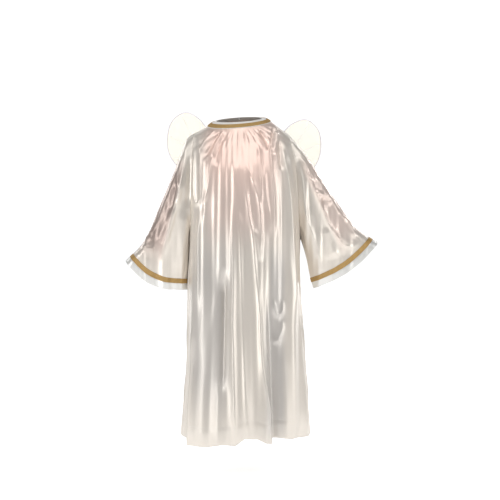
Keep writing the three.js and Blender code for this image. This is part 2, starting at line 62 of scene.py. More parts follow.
import bmesh
import bpy
import numpy as np
from bpy.props import FloatProperty, FloatVectorProperty, PointerProperty
from mathutils import Vector

MM = 0.001

# Heights, from the shoulders down
UNDERARM = -331.0
HEM = -945.0

# Neck: two ovals round one centre, the seam with the panels and the finished edge. Each one's
# height is middle - rise * cos(turn) + tilt * sin(turn), with the turn 0 at the front.
Oval = namedtuple("Oval", "half_width front back middle rise tilt")
NECK_CENTRE = (-6.0, -5.0)
NECK_SEAM = Oval(100.0, 66.0, 62.0, 17.5, 20.5, 8.0)
NECK_EDGE = Oval(71.0, 46.0, 46.0, 31.0, 13.0, 4.5)
# How far the neckband bows out between them
BAND_BOW = 3.0

# Outer ends of the shoulder seams
SHOULDER_TIP = {-1: (-142.0, 0.0, -10.0), 1: (150.0, 0.0, -17.0)}

# Body sections by level: 0 is the shoulder, 1 the underarm and 2 the hem. right and left are the
# side edges, front and back the middle depths, turn the angle that half a section runs through.
Section = namedtuple("Section", "level right left front back turn")
BODY = [
    Section(0.00, -142, 150, -80, 68, 58),
    Section(0.18, -148, 161, -98, 82, 62),
    Section(0.45, -151, 172, -114, 94, 70),
    Section(1.00, -156, 181, -126, 102, 90),
    Section(1.25, -165, 184, -132, 110, 90),
    Section(1.60, -167, 198, -140, 126, 90),
    Section(2.00, -186, 214, -150, 150, 90),
]
# The level at which a panel has its own sections and no longer the form of its top edge; how full
# a section is; how much closer the rows lie at the shoulder; the share of a panel's half width
# that its shoulder seam takes, by facing; and how many waves a set of ripples adds
YOKE_LEVEL = 0.4
SECTION_POWER = 0.86
ROW_POWER = 1.25
SHOULDER_SHARE = {-1: 8 / 42, 1: 4 / 18}
RIPPLE_WAVES = 26

Armhole = namedtuple("Armhole", "level half")
ARMHOLE = [
    Armhole(0.0, 0), Armhole(0.04, 30), Armhole(0.12, 44), Armhole(0.35, 54),
    Armhole(0.6, 52), Armhole(0.85, 37), Armhole(0.95, 21), Armhole(1.0, 0),
]
# The half depth that the cloth beside the armhole and below it keeps, and how soon a section
# passes from its edge to that
BESIDE_ARMHOLE = [
    Armhole(0.0, 0), Armhole(0.04, 30), Armhole(0.12, 44), Armhole(0.35, 54), Armhole(0.6, 52),
    Armhole(1.0, 32), Armhole(1.35, 10), Armhole(1.7, 0),
]
EDGE_POWER = 3

# Sleeves: the line over the arm and the underarm seam, from armhole to cuff; depth is half the
# thickness at each end, set how far it lies back, bow how far the cuff's middle hangs down.
Sleeve = namedtuple("Sleeve", "top bottom depth set bow")
SLEEVES = {
    -1: Sleeve(
        [(-142, -10), (-166, -26), (-179, -56), (-200, -112), (-253, -240), (-307, -354), (-360, -409)],
        [(-156, -331), (-158.5, -342), (-161, -400), (-164, -448), (-166.5, -497)], (53, 30), (0, 8), 32),
    1: Sleeve(
        [(150, -17), (190, -64), (234, -128), (304, -232), (346, -292), (380, -324), (426, -352)],
        [(181, -331), (190, -350), (203, -400), (213, -450), (226, -493)], (53, 32), (0, 0), 20),
}
# Levels down to which a sleeve rounds off over the arm, and from which it does at its foot
ROUND_TOP, ROUND_FOOT = 0.12, 0.72
# How far the cuff's braid lies from the cuff's edge, and its width
CUFF_EDGE, CUFF_BRAID_WIDTH = 20.0, 14.0

# Folds stand out from the cloth, or sink in where out is negative. Each runs through the points
# of path, given as x and z seen from the front; wide is how far its sides reach and out its
# height, at its top and at its foot. crest is how round its top is, from 0.2, a sharp crease.
Fold = namedtuple("Fold", "path wide out crest")
FRONT_FOLDS = [
    # fan from the right of the neck
    Fold([(-50, -6), (-66, -34), (-80, -64), (-90, -96)], (5, 6), (8, 7), 0.3),
    Fold([(-58, -4), (-78, -36), (-98, -70), (-114, -100)], (5, 6), (-8, -7), 0.4),
    Fold([(-76, -4), (-99, -32), (-118, -62), (-128, -84)], (5, 6), (8, 6), 0.3),
    Fold([(-44, -10), (-62, -52), (-74, -92), (-78, -122)], (5, 7), (-6, -5), 0.4),
    Fold([(-88, -6), (-112, -32), (-130, -60)], (4, 5), (-5, -4), 0.4),
    # ridges that hang from the right shoulder and meet in a loop
    Fold([(-140, -44), (-142, -120), (-142, -190), (-139, -218), (-132, -234), (-122, -224),
          (-119, -190), (-122, -110), (-126, -44)], (5, 5), (6, 6), 0.25),
    Fold([(-78, -70), (-91, -118), (-95, -161), (-99, -195), (-110, -226), (-128, -238)],
         (6, 7), (5, 5), 0.3),
    # the wide ridge down the right of the front, and the edge of the forward fold
    Fold([(-108, -215), (-118, -280), (-126, -361), (-129, -493), (-133, -600), (-137, -740)],
         (12, 16), (9, 10), 0.9),
    Fold([(-119, -250), (-122, -330), (-122, -470), (-126, -560)], (5, 6), (3, 3), 0.3),
    Fold([(-148, -600), (-147, -760), (-144, -1000)], (7, 9), (3, 7), 0.5),
    # the middle
    Fold([(-12, -85), (-15, -148), (-8, -212), (6, -300)], (11, 9), (5, 4), 0.8),
    Fold([(-20, -185), (-25, -255), (-25, -340), (-23, -464), (-23, -592), (-19, -677), (-15, -805),
          (-10, -1010)], (7, 12), (6, 17), 0.22),
    Fold([(-15, -205), (-9, -276), (-2, -340), (3, -464), (6, -592), (11, -720), (17, -860),
          (23, -1010)], (6, 10), (5, 7), 0.22),
    Fold([(3, -90), (11, -156), (17, -212), (26, -272), (37, -340), (46, -450), (56, -570), (60, -677),
          (67, -762), (78, -826), (87, -890), (92, -1010)], (7, 8), (6, 9), 0.2),
    Fold([(15, -100), (41, -178), (55, -229), (61, -300), (61, -400)], (6, 8), (6, 5), 0.25),
    Fold([(42, -305), (53, -353), (61, -412)], (5, 6), (4, 4), 0.25),
    Fold([(53, -50), (60, -135), (63, -195), (62, -245)], (5, 6), (5, 4), 0.25),
    Fold([(71, -108), (76, -212), (86, -267), (90, -340)], (5, 6), (5, 4), 0.25),
    # forked creases left of the neck
    Fold([(52, -2), (74, -34), (90, -80)], (5, 6), (-8, -7), 0.3),
    Fold([(101, 2), (95, -35), (90, -76)], (4, 5), (-7, -6), 0.3),
    Fold([(68, -6), (86, -44), (90, -92), (93, -148), (98, -212), (100, -276), (103, -345)],
         (5, 7), (6, 6), 0.22),
    Fold([(113, -8), (105, -48), (100, -88)], (5, 6), (5, 4), 0.25),
    Fold([(120, -34), (121, -96), (124, -135)], (6, 7), (-8, -6), 0.4),
    # the strong ridge down the left of the front, sharp above and broad below
    Fold([(125, -26), (130, -84), (138, -139), (145, -195), (153, -318), (158, -440), (158, -620)],
         (7, 9), (9, 8), 0.22),
    Fold([(152, -360), (157, -500), (159, -700), (166, -860), (170, -1010)], (15, 20), (5, 20), 1.0),
    # shorter ones down the skirt
    Fold([(-50, -420), (-51, -600), (-50, -820)], (8, 8), (-14, -13), 0.6),
    Fold([(-69, -470), (-79, -549), (-85, -634), (-90, -740), (-92, -1010)], (10, 15), (5, 9), 1.0),
    Fold([(100, -520), (102, -556), (112, -570), (122, -562), (126, -520)], (4, 5), (4, 4), 0.3),
    Fold([(126, -650), (129, -800), (132, -1010)], (9, 11), (4, 9), 0.6),
    Fold([(124, -582), (122, -612), (112, -640), (100, -660)], (5, 7), (4, 3), 0.5),
    # left sleeve
    Fold([(172, -70), (193, -121), (220, -178), (247, -243), (273, -301), (300, -339), (325, -360),
          (350, -358), (372, -344)], (8, 8), (8, 7), 0.22),
    Fold([(180, -84), (199, -117), (212, -138), (230, -168)], (5, 6), (6, 5), 0.3),
    Fold([(186, -62), (214, -107), (236, -152)], (5, 6), (5, 4), 0.3),
    Fold([(230, -188), (248, -204), (278, -207)], (5, 6), (6, 5), 0.35),
    Fold([(246, -218), (284, -228)], (7, 7), (-6, -5), 0.6),
    Fold([(308, -270), (328, -281), (341, -301), (352, -340)], (4, 6), (4, 5), 0.3),
    Fold([(183, -110), (190, -190), (195, -243), (208, -293), (224, -336), (242, -384)],
         (6, 8), (6, 5), 0.25),
    Fold([(199, -235), (212, -320), (238, -420)], (8, 12), (3, 4), 0.8),
    Fold([(262, -300), (276, -350), (296, -400)], (10, 12), (3, 5), 0.8),
    Fold([(156, -40), (169, -90)], (5, 6), (-5, -5), 0.4),
    # right sleeve
    Fold([(-178, -80), (-191, -159), (-198, -213), (-213, -282), (-225, -328), (-237, -370),
          (-250, -412)], (8, 10), (8, 7), 0.25),
    Fold([(-198, -165), (-204, -220), (-212, -262)], (6, 7), (-6, -5), 0.4),
    Fold([(-158, -130), (-212, -260), (-252, -335), (-290, -400)], (9, 13), (4, 7), 0.7),
    Fold([(-165, -80), (-179, -159), (-190, -220), (-204, -274), (-217, -320), (-232, -372)],
         (5, 7), (5, 5), 0.25),
    Fold([(-308, -364), (-286, -367), (-264, -372)], (5, 6), (5, 4), 0.3),
    Fold([(-290, -314), (-266, -323)], (4, 4), (4, 3), 0.3),
    Fold([(-296, -334), (-272, -341)], (4, 4), (4, 3), 0.3),
    Fold([(-156, -80), (-156, -148), (-159, -205), (-168, -250)], (6, 8), (-7, -5), 0.5),
    Fold([(-176, -240), (-177, -340), (-184, -450)], (9, 12), (3, 5), 0.8),
]
BACK_FOLDS = [
    Fold([(-58, -60), (-66, -250), (-84, -500), (-104, -1010)], (8, 14), (6, 20), 0.3),
    Fold([(-30, -50), (-34, -250), (-40, -480), (-52, -1010)], (7, 13), (5, 17), 0.4),
    Fold([(26, -50), (30, -260), (44, -500), (60, -1010)], (8, 14), (6, 19), 0.3),
    Fold([(62, -60), (78, -260), (92, -480), (112, -1010)], (8, 13), (6, 18), 0.3),
    Fold([(112, -70), (132, -260), (146, -480), (166, -1010)], (7, 12), (6, 15), 0.4),
    Fold([(-104, -70), (-118, -260), (-128, -480), (-148, -1010)], (7, 12), (6, 15), 0.3),
    Fold([(-6, -90), (0, -260), (2, -440)], (6, 7), (4, 4), 0.3),
    Fold([(44, -40), (56, -160), (62, -320)], (5, 7), (5, 4), 0.3),
    Fold([(-76, -50), (-92, -180), (-108, -340)], (5, 7), (5, 4), 0.3),
    Fold([(12, -70), (16, -200), (14, -330)], (5, 6), (4, 3), 0.3),
    Fold([(84, -560), (84, -760), (86, -1010)], (8, 12), (4, 11), 0.6),
    Fold([(-76, -520), (-78, -740), (-80, -1010)], (8, 12), (4, 11), 0.6),
    Fold([(20, -600), (14, -800), (10, -1010)], (9, 13), (3, 9), 0.8),
    Fold([(175, -80), (220, -180), (262, -300), (330, -380)], (8, 10), (7, 8), 0.3),
    Fold([(178, -150), (192, -240), (214, -330), (250, -460)], (7, 10), (5, 8), 0.4),
    Fold([(226, -140), (270, -220), (300, -270), (352, -340)], (6, 8), (5, 5), 0.3),
    Fold([(-155, -100), (-186, -190), (-214, -270), (-290, -406)], (8, 10), (7, 9), 0.3),
    Fold([(-152, -180), (-170, -260), (-186, -330), (-222, -450)], (7, 10), (5, 8), 0.4),
    Fold([(-192, -140), (-222, -220), (-250, -290), (-310, -388)], (6, 8), (5, 5), 0.3),
]

# The middle of the front hangs forward as one wide fold between two sharp edges
ForwardFold = namedtuple("ForwardFold", "start right_edge left_edge edge out")
FORWARD_FOLD = ForwardFold(-520.0, (-149, -143), (78, 90), 7.0, 34.0)

# The cloth's thickness in the scene
WALL = 0.8
# The robe's hem is stitched this far above its edge. A turned hem starts this softly, and its
# double cloth stands out this far
HEM_STITCH, HEM_SOFT, HEM_LIFT = 48.0, 2.0, 0.5
# How far the front's hem rises above its plain height, by x, and the back's waves: their height,
# the x that a wave spans for each radian, and a slower wave that makes them uneven
HEM_WAVES = ((-186, -152, -136, -86, -47, -12, 13, 48, 68, 88, 96, 108, 147, 202, 214),
             (3, -2, -13, -13, -4, -6, 15, 13, 1, -3, 12, 12, 5, 5, 4))
BACK_WAVE, BACK_WAVE_SPAN, SLOW_WAVE, SLOW_WAVE_SPAN = 6, 27.0, 0.6, 61.0
# The share of a cloth's normal that points to the front or the back, between which its folds
# grow, the levels over which they grow below a seam, and those over which the hem's waves do
FOLD_FACING = (0.12, 0.6)
FOLD_START = (0, 0.08)
WAVE_LEVELS = (1.45, 2)

# The robe's grids: rows over the shoulder and below the underarm, columns across, and rings
ARM_ROWS, SKIRT_ROWS = 104, 122
FRONT_COLUMNS, BACK_COLUMNS = 208, 104
SLEEVE_RINGS, CUFF_ROWS = 112, 17
PANELS = ("robe_front", "robe_back_left", "robe_back_right", "sleeve_left", "sleeve_right")


def smoothstep(value, low, high):
    """0 below low, 1 above high and a smooth cubic between."""
    t = np.clip((value - low) / (high - low), 0, 1)
    return t * t * (3 - 2 * t)


def mix(a, b, share):
    """A plain blend of a and b."""
    return a + (b - a) * share


def cubic(low, rise, start, end, t):
    """A cubic from low to low + rise as t goes from 0 to 1, with slopes start and end."""
    return low + start * t + (3 * rise - 2 * start - end) * t ** 2 + (start + end - 2 * rise) * t ** 3


def lengths_along(line):
    """How far along a line of points each one lies, from 0 at the first."""
    return np.append(0, np.linalg.norm(np.diff(line, axis=0), axis=1).cumsum())


def points_at(line, along, at):
    """Points of a flat line at the given lengths along it."""
    return np.stack([np.interp(at, along, line[:, k]) for k in (0, 1)], axis=-1)


def table_value(table, column, at):
    """A smooth curve through a table's rows that never overshoots: a cubic between each two
    rows, whose end slopes are held between 0 and 3 times the straight slope."""
    x = np.array([row.level for row in table], float)
    y = np.array([getattr(row, column) for row in table], float)
    low, high = np.maximum(np.arange(len(x)) - 1, 0), np.minimum(np.arange(len(x)) + 1, len(x) - 1)
    slope = (y[high] - y[low]) / (x[high] - x[low])
    i = np.clip(np.searchsorted(x, at, side="left") - 1, 0, len(x) - 2)
    span, rise = x[i + 1] - x[i], y[i + 1] - y[i]
    t = np.clip((at - x[i]) / span, 0, 1)
    sign, steepest = np.sign(rise), 3 * np.abs(rise) / span
    start = sign * np.clip(slope[i] * sign, 0, steepest) * span
    end = sign * np.clip(slope[i + 1] * sign, 0, steepest) * span
    return cubic(y[i], rise, start, end, t)


def neck_points(oval, turn):
    """Points on a neck oval: two half ellipses in plan, raised at the back and at the left. turn
    is in degrees, from the front towards the left."""
    angle = np.radians(turn)
    depth = np.where(np.cos(angle) > 0, oval.front, oval.back)
    return np.stack([
        NECK_CENTRE[0] + oval.half_width * np.sin(angle),
        NECK_CENTRE[1] - depth * np.cos(angle),
        oval.middle - oval.rise * np.cos(angle) + oval.tilt * np.sin(angle),
    ], axis=-1)


def top_points(across, facing):
    """The top edge of a body panel: the neck arc in the middle and a straight shoulder seam at
    each end, by how far across the body each column lies (-1 right to 1 left)."""
    share = 1 - SHOULDER_SHARE[facing]
    turn = 90 * np.clip(across / share, -1, 1)
    if facing > 0:
        turn = 180 - turn
    neck = neck_points(NECK_SEAM, turn)
    past = np.clip((np.abs(across) - share) / (1 - share), 0, 1)[:, None]
    tip = np.where(across[:, None] < 0, SHOULDER_TIP[-1], SHOULDER_TIP[1])
    return mix(neck, tip, past)


def section_points(level, across, facing):
    """x and y of the body's sections. A section is an arc through its turn, with its depth
    falling from the middle to the armhole or side seam as a power of the arc's cosine. The
    armhole's own depth counts at the edge alone, and a smoother one beside it."""
    right, left = table_value(BODY, "right", level), table_value(BODY, "left", level)
    depth = np.abs(table_value(BODY, "front" if facing < 0 else "back", level))
    edge = np.where(level < 1, table_value(ARMHOLE, "half", np.minimum(level, 1)), 0)
    turn = np.radians(table_value(BODY, "turn", level))
    angle = across * turn
    bulge = np.maximum((np.cos(angle) - np.cos(turn)) / (1 - np.cos(turn)), 0) ** SECTION_POWER
    half = mix(table_value(BESIDE_ARMHOLE, "half", level), edge, (1 - bulge) ** EDGE_POWER)
    x = (right + left) / 2 + (left - right) / 2 * np.sin(angle) / np.sin(turn)
    return x, facing * (half + (depth - half) * bulge)


def body_points(levels, across, facing):
    """A body panel as a grid, rows down and columns across, drawn in to its top edge."""
    level, side = levels[:, None], across[None, :]
    top = top_points(across, facing)
    x, y = section_points(level, side, facing)
    x0, y0 = section_points(np.zeros((1, 1)), side, facing)
    fade = np.maximum(1 - level / YOKE_LEVEL, 0) ** 2
    z = np.where(level < 1, mix(top[:, 2], UNDERARM, level), mix(UNDERARM, HEM, level - 1))
    return np.stack([x + (top[:, 0] - x0) * fade, y + (top[:, 1] - y0) * fade, z + 0 * x], axis=-1)


def smooth_line(points, count=600):
    """A smooth curve through points in the xz plane, each stretch a cubic whose speed goes with
    the square root of the distance between them. Returns its points and their lengths along."""
    p = np.array(points, float)
    p = np.vstack([2 * p[0] - p[1], p, 2 * p[-1] - p[-2]])
    step = np.maximum(np.linalg.norm(np.diff(p, axis=0), axis=1) ** 0.5, 1e-4)
    made = []
    for i in range(1, len(p) - 2):
        a, b, c = step[i - 1], step[i], step[i + 1]
        start = (p[i] - p[i - 1]) / a - (p[i + 1] - p[i - 1]) / (a + b) + (p[i + 1] - p[i]) / b
        end = (p[i + 1] - p[i]) / b - (p[i + 2] - p[i]) / (b + c) + (p[i + 2] - p[i + 1]) / c
        t = np.linspace(0, 1, count // (len(p) - 3), endpoint=False)[:, None]
        made.append(cubic(p[i], p[i + 1] - p[i], start * b, end * b, t))
    line = np.vstack([*made, p[-2:-1]])
    return line, lengths_along(line)


def sleeve_columns(side, levels):
    """Level and facing of a sleeve's columns, down the front and up the back, or the reverse."""
    arm = levels[levels <= 1]
    level = np.concatenate([arm, arm[-2:0:-1]])
    facing = np.concatenate([-np.ones(len(arm)), np.ones(len(arm) - 2)])
    return (level[::-1], facing[::-1]) if side > 0 else (level, facing)


def sleeve_points(side, levels):
    """A sleeve as rings from armhole to cuff. Each ring hangs between the line over the arm and
    the underarm seam, round over the arm and at its foot; the last rings run parallel to the
    cuff's edge. Rings grow out of the armhole seam, whose form fades towards the cuff."""
    sleeve = SLEEVES[side]
    (top, top_along), (foot, foot_along) = smooth_line(sleeve.top), smooth_line(sleeve.bottom)
    level, facing = sleeve_columns(side, levels)
    length = mix(top_along[-1], foot_along[-1], level)
    plain = SLEEVE_RINGS - CUFF_ROWS
    inner = np.arange(plain)[:, None] / plain * (1 - (CUFF_EDGE + CUFF_BRAID_WIDTH) / length)
    cuff = 1 - np.linspace(CUFF_EDGE + CUFF_BRAID_WIDTH, 0, CUFF_ROWS + 1)[:, None] / length
    along = np.vstack([inner, cuff])

    over = points_at(top, top_along, along * top_along[-1])
    under = points_at(foot, foot_along, along * foot_along[-1])
    hang = mix(over, under, level[:, None])
    seam_x = table_value(BODY, "right" if side < 0 else "left", level)
    seam_y = facing * table_value(ARMHOLE, "half", level)
    start_x = mix(top[0, 0], foot[0, 0], level)
    keep = (1 - along) ** 2
    round_top = np.sqrt(1 - (1 - np.minimum(level / ROUND_TOP, 1)) ** 2)
    round_foot = np.sqrt(1 - np.maximum((level - ROUND_FOOT) / (1 - ROUND_FOOT), 0) ** 2)
    thick = mix(*sleeve.depth, along)
    line = foot[-1] - top[-1]
    line = line / np.linalg.norm(line)
    bow = sleeve.bow * np.sin(np.pi * level) * along ** 2
    x = hang[..., 0] + (seam_x - start_x) * keep - abs(line[1]) * np.sign(line[0]) * bow
    z = hang[..., 1] - abs(line[0]) * bow
    y = mix(facing * thick * round_top * round_foot, seam_y, keep) + mix(*sleeve.set, along)
    return np.stack([x, y, z], axis=-1)


def along_path(path, x, z):
    """Distance from each point to a smooth line through a path, read as short straight
    stretches, and the share of the line's length at the nearest place."""
    line, lengths = smooth_line(path, count=(len(path) - 1) * 5)
    away, share = np.full(x.shape, np.inf), np.zeros(x.shape)
    for (x0, z0), (x1, z1), passed, reached in zip(line[:-1], line[1:], lengths[:-1], lengths[1:]):
        t = np.clip(((x - x0) * (x1 - x0) + (z - z0) * (z1 - z0)) / (reached - passed) ** 2, 0, 1)
        near = np.hypot(x - mix(x0, x1, t), z - mix(z0, z1, t))
        closer = near < away
        away = np.where(closer, near, away)
        share = np.where(closer, mix(passed, reached, t) / lengths[-1], share)
    return away, share


def ripples(x, z, seed, spacing, reach):
    """Soft uneven pleats: a sum of cosines with random spacing near the one given, that change
    slowly down the cloth over about the given reach. Runs between about -1 and 1."""
    rng = np.random.default_rng(seed)
    total = np.zeros(x.shape)
    for _ in range(RIPPLE_WAVES):
        across = rng.uniform(0.6, 1.5) / spacing
        down = rng.normal() / reach
        total += np.cos(2 * np.pi * (across * x + down * z) + rng.uniform(0, 2 * np.pi))
    return total / math.sqrt(RIPPLE_WAVES)


def soft_pleats(x, z, facing):
    """Low swells between the folds: broad ones that grow towards the hem, fine ones at the
    chest, and small gathers that fan out from the neck seam and die away below it, apart from
    a calm patch at the middle of the front."""
    down = smoothstep(-z, 120, 900)
    broad = np.where(facing < 0, ripples(x, z, 3, 62.0, 2600.0), ripples(x, z, 53, 58.0, 2600.0))
    narrow = np.where(facing < 0, ripples(x, z, 8, 21.0, 1500.0), ripples(x, z, 58, 20.0, 1500.0))
    turn = np.degrees(np.arctan2(x - NECK_CENTRE[0], 40.0 - z))
    fan = ripples(turn, 0 * turn, 11, 8.5, 1e6)
    gathers = np.exp(-np.hypot((x - NECK_CENTRE[0]) / 190, (z - 20) / 90) ** 2)
    calm = np.where(facing < 0, 1 - 0.85 * np.exp(-((x + 22) / 34) ** 2 - ((z + 60) / 90) ** 2), 1)
    return broad * (0.8 + 3.0 * down) + narrow * (0.55 - 0.25 * down) + 1.3 * fan * gathers * calm


def side_creases(points):
    """Low creases where the cloth faces up or sideways: soft pleats along the arms and down the
    sides, spaced from front to back, that fade towards the neck seam."""
    x, y, z = points[..., 0], points[..., 1], points[..., 2]
    across, deep = x - NECK_CENTRE[0], y - NECK_CENTRE[1]
    off_neck = np.hypot(across / NECK_SEAM.half_width, deep / NECK_SEAM.back) - 1
    height = 1.5 * ripples(y, z, 91, 19.0, 260.0) + 0.7 * ripples(y, z, 92, 8.0, 180.0)
    return height * smoothstep(off_neck, 0.05, 0.35)


def trim_share(points, closed):
    """1 on turned hems, which are a sleeve's cuff beyond the braid and the robe's hem below its
    stitches, and 0 elsewhere."""
    if closed:
        rings = len(points)
        from_edge = (rings - 1 - np.arange(rings)) * (CUFF_EDGE + CUFF_BRAID_WIDTH) / CUFF_ROWS
        cuff = 1 - smoothstep(from_edge, CUFF_EDGE - HEM_SOFT, CUFF_EDGE + HEM_SOFT)
        return np.broadcast_to(cuff[:, None], points.shape[:2])
    line = -HEM - HEM_STITCH
    return smoothstep(-points[..., 2], line - HEM_SOFT, line + HEM_SOFT)


def fold_height(x, z, facing):
    """Height of all the folds at points seen from the front or the back. A fold's section is
    exp(crest - sqrt((distance / wide)^2 + crest^2)): a round top with long sides that fall away.
    Its height runs out smoothly at both ends of its path."""
    height = np.zeros(x.shape)
    for fold in (FRONT_FOLDS if facing < 0 else BACK_FOLDS):
        corners = np.array(fold.path, float)
        margin = 4 * max(fold.wide)
        low, high = corners.min(axis=0) - margin, corners.max(axis=0) + margin
        near = (x > low[0]) & (x < high[0]) & (z > low[1]) & (z < high[1])
        away, share = along_path(fold.path, x[near], z[near])
        wide = mix(*fold.wide, share)
        section = np.exp(fold.crest - np.sqrt((away / wide) ** 2 + fold.crest ** 2))
        section *= 1 - smoothstep(away / wide, 2.5, 4)
        ends = smoothstep(share, 0, 0.22) * smoothstep(1 - share, 0, 0.22)
        height[near] += mix(*fold.out, share) * section * ends
    drop = np.clip((FORWARD_FOLD.start - z) / (FORWARD_FOLD.start - HEM), 0, 1)
    if facing < 0:
        right, left = mix(*FORWARD_FOLD.right_edge, drop), mix(*FORWARD_FOLD.left_edge, drop)
        edge = FORWARD_FOLD.edge
        inside = smoothstep(x, right - edge, right + edge) * smoothstep(-x, -left - edge, -left + edge)
        height += FORWARD_FOLD.out * smoothstep(drop, 0, 1) * inside
    return height


def shared_normals(grids):
    """Normals of several grids together, the same on both sides of each seam: each face's
    normal is added at its corners, and corners at one place share their sum."""
    places, sums = [], []
    for points, closed in grids:
        nxt = np.roll(points, -1, axis=1) if closed else points[:, 1:]
        now = points if closed else points[:, :-1]
        down = now[1:] + nxt[1:] - now[:-1] - nxt[:-1]
        across = nxt[1:] + nxt[:-1] - now[1:] - now[:-1]
        face = np.cross(down, across)
        total = np.zeros(points.shape)
        columns = face.shape[1]
        total[:-1, :columns] += face
        total[1:, :columns] += face
        if closed:
            total[:-1] += np.roll(face, 1, axis=1)
            total[1:] += np.roll(face, 1, axis=1)
        else:
            total[:-1, 1:] += face
            total[1:, 1:] += face
        places.append(points.reshape(-1, 3))
        sums.append(total.reshape(-1, 3))
    keys = np.round(np.vstack(places) * 50).astype(np.int64)
    _, same = np.unique(keys, axis=0, return_inverse=True)
    same = same.reshape(-1)
    shared = np.zeros((same.max() + 1, 3))
    np.add.at(shared, same, np.vstack(sums))
    normal = unit(shared[same])
    parts = np.split(normal, np.cumsum([len(p) for p in places])[:-1])
    return [part.reshape(points.shape) for part, (points, _) in zip(parts, grids)]


@lru_cache
def robe():
    """Every panel of the robe, as points and normals in mm and whether it closes on itself.
    Smooth forms come first, then their folds along the normals that neighbours share."""
    levels = np.concatenate([
        (np.arange(ARM_ROWS + 1) / ARM_ROWS) ** ROW_POWER,
        1 + np.arange(1, SKIRT_ROWS + 1) / SKIRT_ROWS,
    ])
    front = np.linspace(-1, 1, FRONT_COLUMNS + 1)
    back = np.linspace(1, 0, BACK_COLUMNS + 1)
    grids = [
        (body_points(levels, front, -1), False),
        (body_points(levels, back, 1), False),
        (body_points(levels, -back[::-1], 1), False),
        (sleeve_points(1, levels), True),
        (sleeve_points(-1, levels), True),
    ]
    normals = shared_normals(grids)
    folded = []
    for (points, closed), normal in zip(grids, normals):
        x, z = points[..., 0], points[..., 2]
        if closed:
            level, _ = sleeve_columns(points[0, 0, 0], levels)
            grown = smoothstep(np.arange(len(points)) / len(points), 0, 0.3)[:, None]
            start = mix(smoothstep(level, *FOLD_START), 1, grown)
        else:
            start = smoothstep(levels, *FOLD_START)[:, None]
        ahead = smoothstep(np.abs(normal[..., 1]), *FOLD_FACING)
        facing = np.where(normal[..., 1] < 0, -1, 1)
        height = np.where(facing < 0, fold_height(x, z, -1), fold_height(x, z, 1))
        height += soft_pleats(x, z, facing)
        lift = height * (ahead * start) + side_creases(points) * (1 - ahead)
        lift += HEM_LIFT * trim_share(points, closed)
        moved = points + normal * lift[..., None]
        if not closed:
            back = BACK_WAVE * np.sin(x / BACK_WAVE_SPAN + SLOW_WAVE * np.sin(x / SLOW_WAVE_SPAN))
            waves = np.where(facing < 0, np.interp(x, *HEM_WAVES), back)
            moved[..., 2] += smoothstep(levels, *WAVE_LEVELS)[:, None] * waves
        folded.append((moved, closed))
    normals = shared_normals(folded)
    return {name: (points, normal, closed)
            for name, (points, closed), normal in zip(PANELS, folded, normals)}


def grid_mesh(name, points, closed=(False, False), solid=False, uv=None, caps=(False, False)):
    """A mesh on a grid of points in mm, rows by columns, either way closed round. Faces point to
    the cross product of down the rows and along the columns, or out of a solid. Its UV map is
    the length along the columns and down the rows in metres, or the values given. caps closes
    the first row and the last one with a face each."""
    rows, columns = points.shape[:2]
    index = np.arange(rows * columns).reshape(rows, columns)
    upper = index if closed[0] else index[:-1]
    lower = np.roll(index, -1, axis=0) if closed[0] else index[1:]

    def sides(line):
        return (line, np.roll(line, -1, axis=1)) if closed[1] else (line[:, :-1], line[:, 1:])

    (a, d), (b, c) = sides(upper), sides(lower)
    quads = np.stack([a, b, c, d], axis=-1).reshape(-1, 4)
    flat = points.reshape(-1, 3)
    if uv is None:
        wide, tall = lengths_along(points[rows // 2]), lengths_along(points[:, columns // 2])
        uv = np.stack(np.meshgrid(wide * MM, -tall * MM), axis=-1)
    uv = uv.reshape(-1, 2)
    faces = [quads]
    if caps[0]:
        faces.append(index[0][None, :])
    if caps[1]:
        faces.append(index[-1][None, ::-1])
    if solid:
        p0, p1, p2, p3 = (flat[quads[:, k]] for k in range(4))
        volume = np.einsum("ij,ij->i", p0, np.cross(p1, p2) + np.cross(p2, p3)).sum()
        if volume < 0:
            faces = [face[:, ::-1] for face in faces]
    corners = np.concatenate([face.ravel() for face in faces])
    sizes = np.concatenate([np.full(len(face), face.shape[1]) for face in faces])
    mesh = bpy.data.meshes.new(name)
    mesh.vertices.add(len(flat))
    mesh.vertices.foreach_set("co", (flat * MM).astype(np.float32).ravel())
    mesh.loops.add(len(corners))
    mesh.loops.foreach_set("vertex_index", corners.astype(np.int32))
    mesh.polygons.add(len(sizes))
    mesh.polygons.foreach_set("loop_start", (np.cumsum(sizes) - sizes).astype(np.int32))
    mesh.update(calc_edges=True)
    mesh.uv_layers.new(name="Cloth").data.foreach_set("uv", uv[corners].astype(np.float32).ravel())
    mesh.shade_smooth()
    return mesh


def paint(mesh, name, values):
    """Keeps one number for each vertex, for the material to read."""
    layer = mesh.attributes.new(name, "FLOAT", "POINT")
    layer.data.foreach_set("value", np.ravel(values).astype(np.float32))


def joined(meshes, name):
    """One mesh from several."""
    whole = bmesh.new()
    for mesh in meshes:
        whole.from_mesh(mesh)
        bpy.data.meshes.remove(mesh)
    made = bpy.data.meshes.new(name)
    whole.to_mesh(made)
    whole.free()
    made.shade_smooth()
    return made


def unit(vectors):
    """Vectors at length one."""
    return vectors / np.maximum(np.linalg.norm(vectors, axis=-1, keepdims=True), 1e-9)


def read_grid(grid, rows, columns, closed=False):
    """Values of a grid at fractional rows and columns, blended from the four around."""
    if closed:
        grid = np.concatenate([grid, grid[:, :1]], axis=1)
    i = np.clip(np.floor(rows).astype(int), 0, grid.shape[0] - 2)
    j = np.clip(np.floor(columns).astype(int), 0, grid.shape[1] - 2)
    di, dj = (rows - i)[..., None], (columns - j)[..., None]
    return mix(mix(grid[i, j], grid[i, j + 1], dj), mix(grid[i + 1, j], grid[i + 1, j + 1], dj), di)


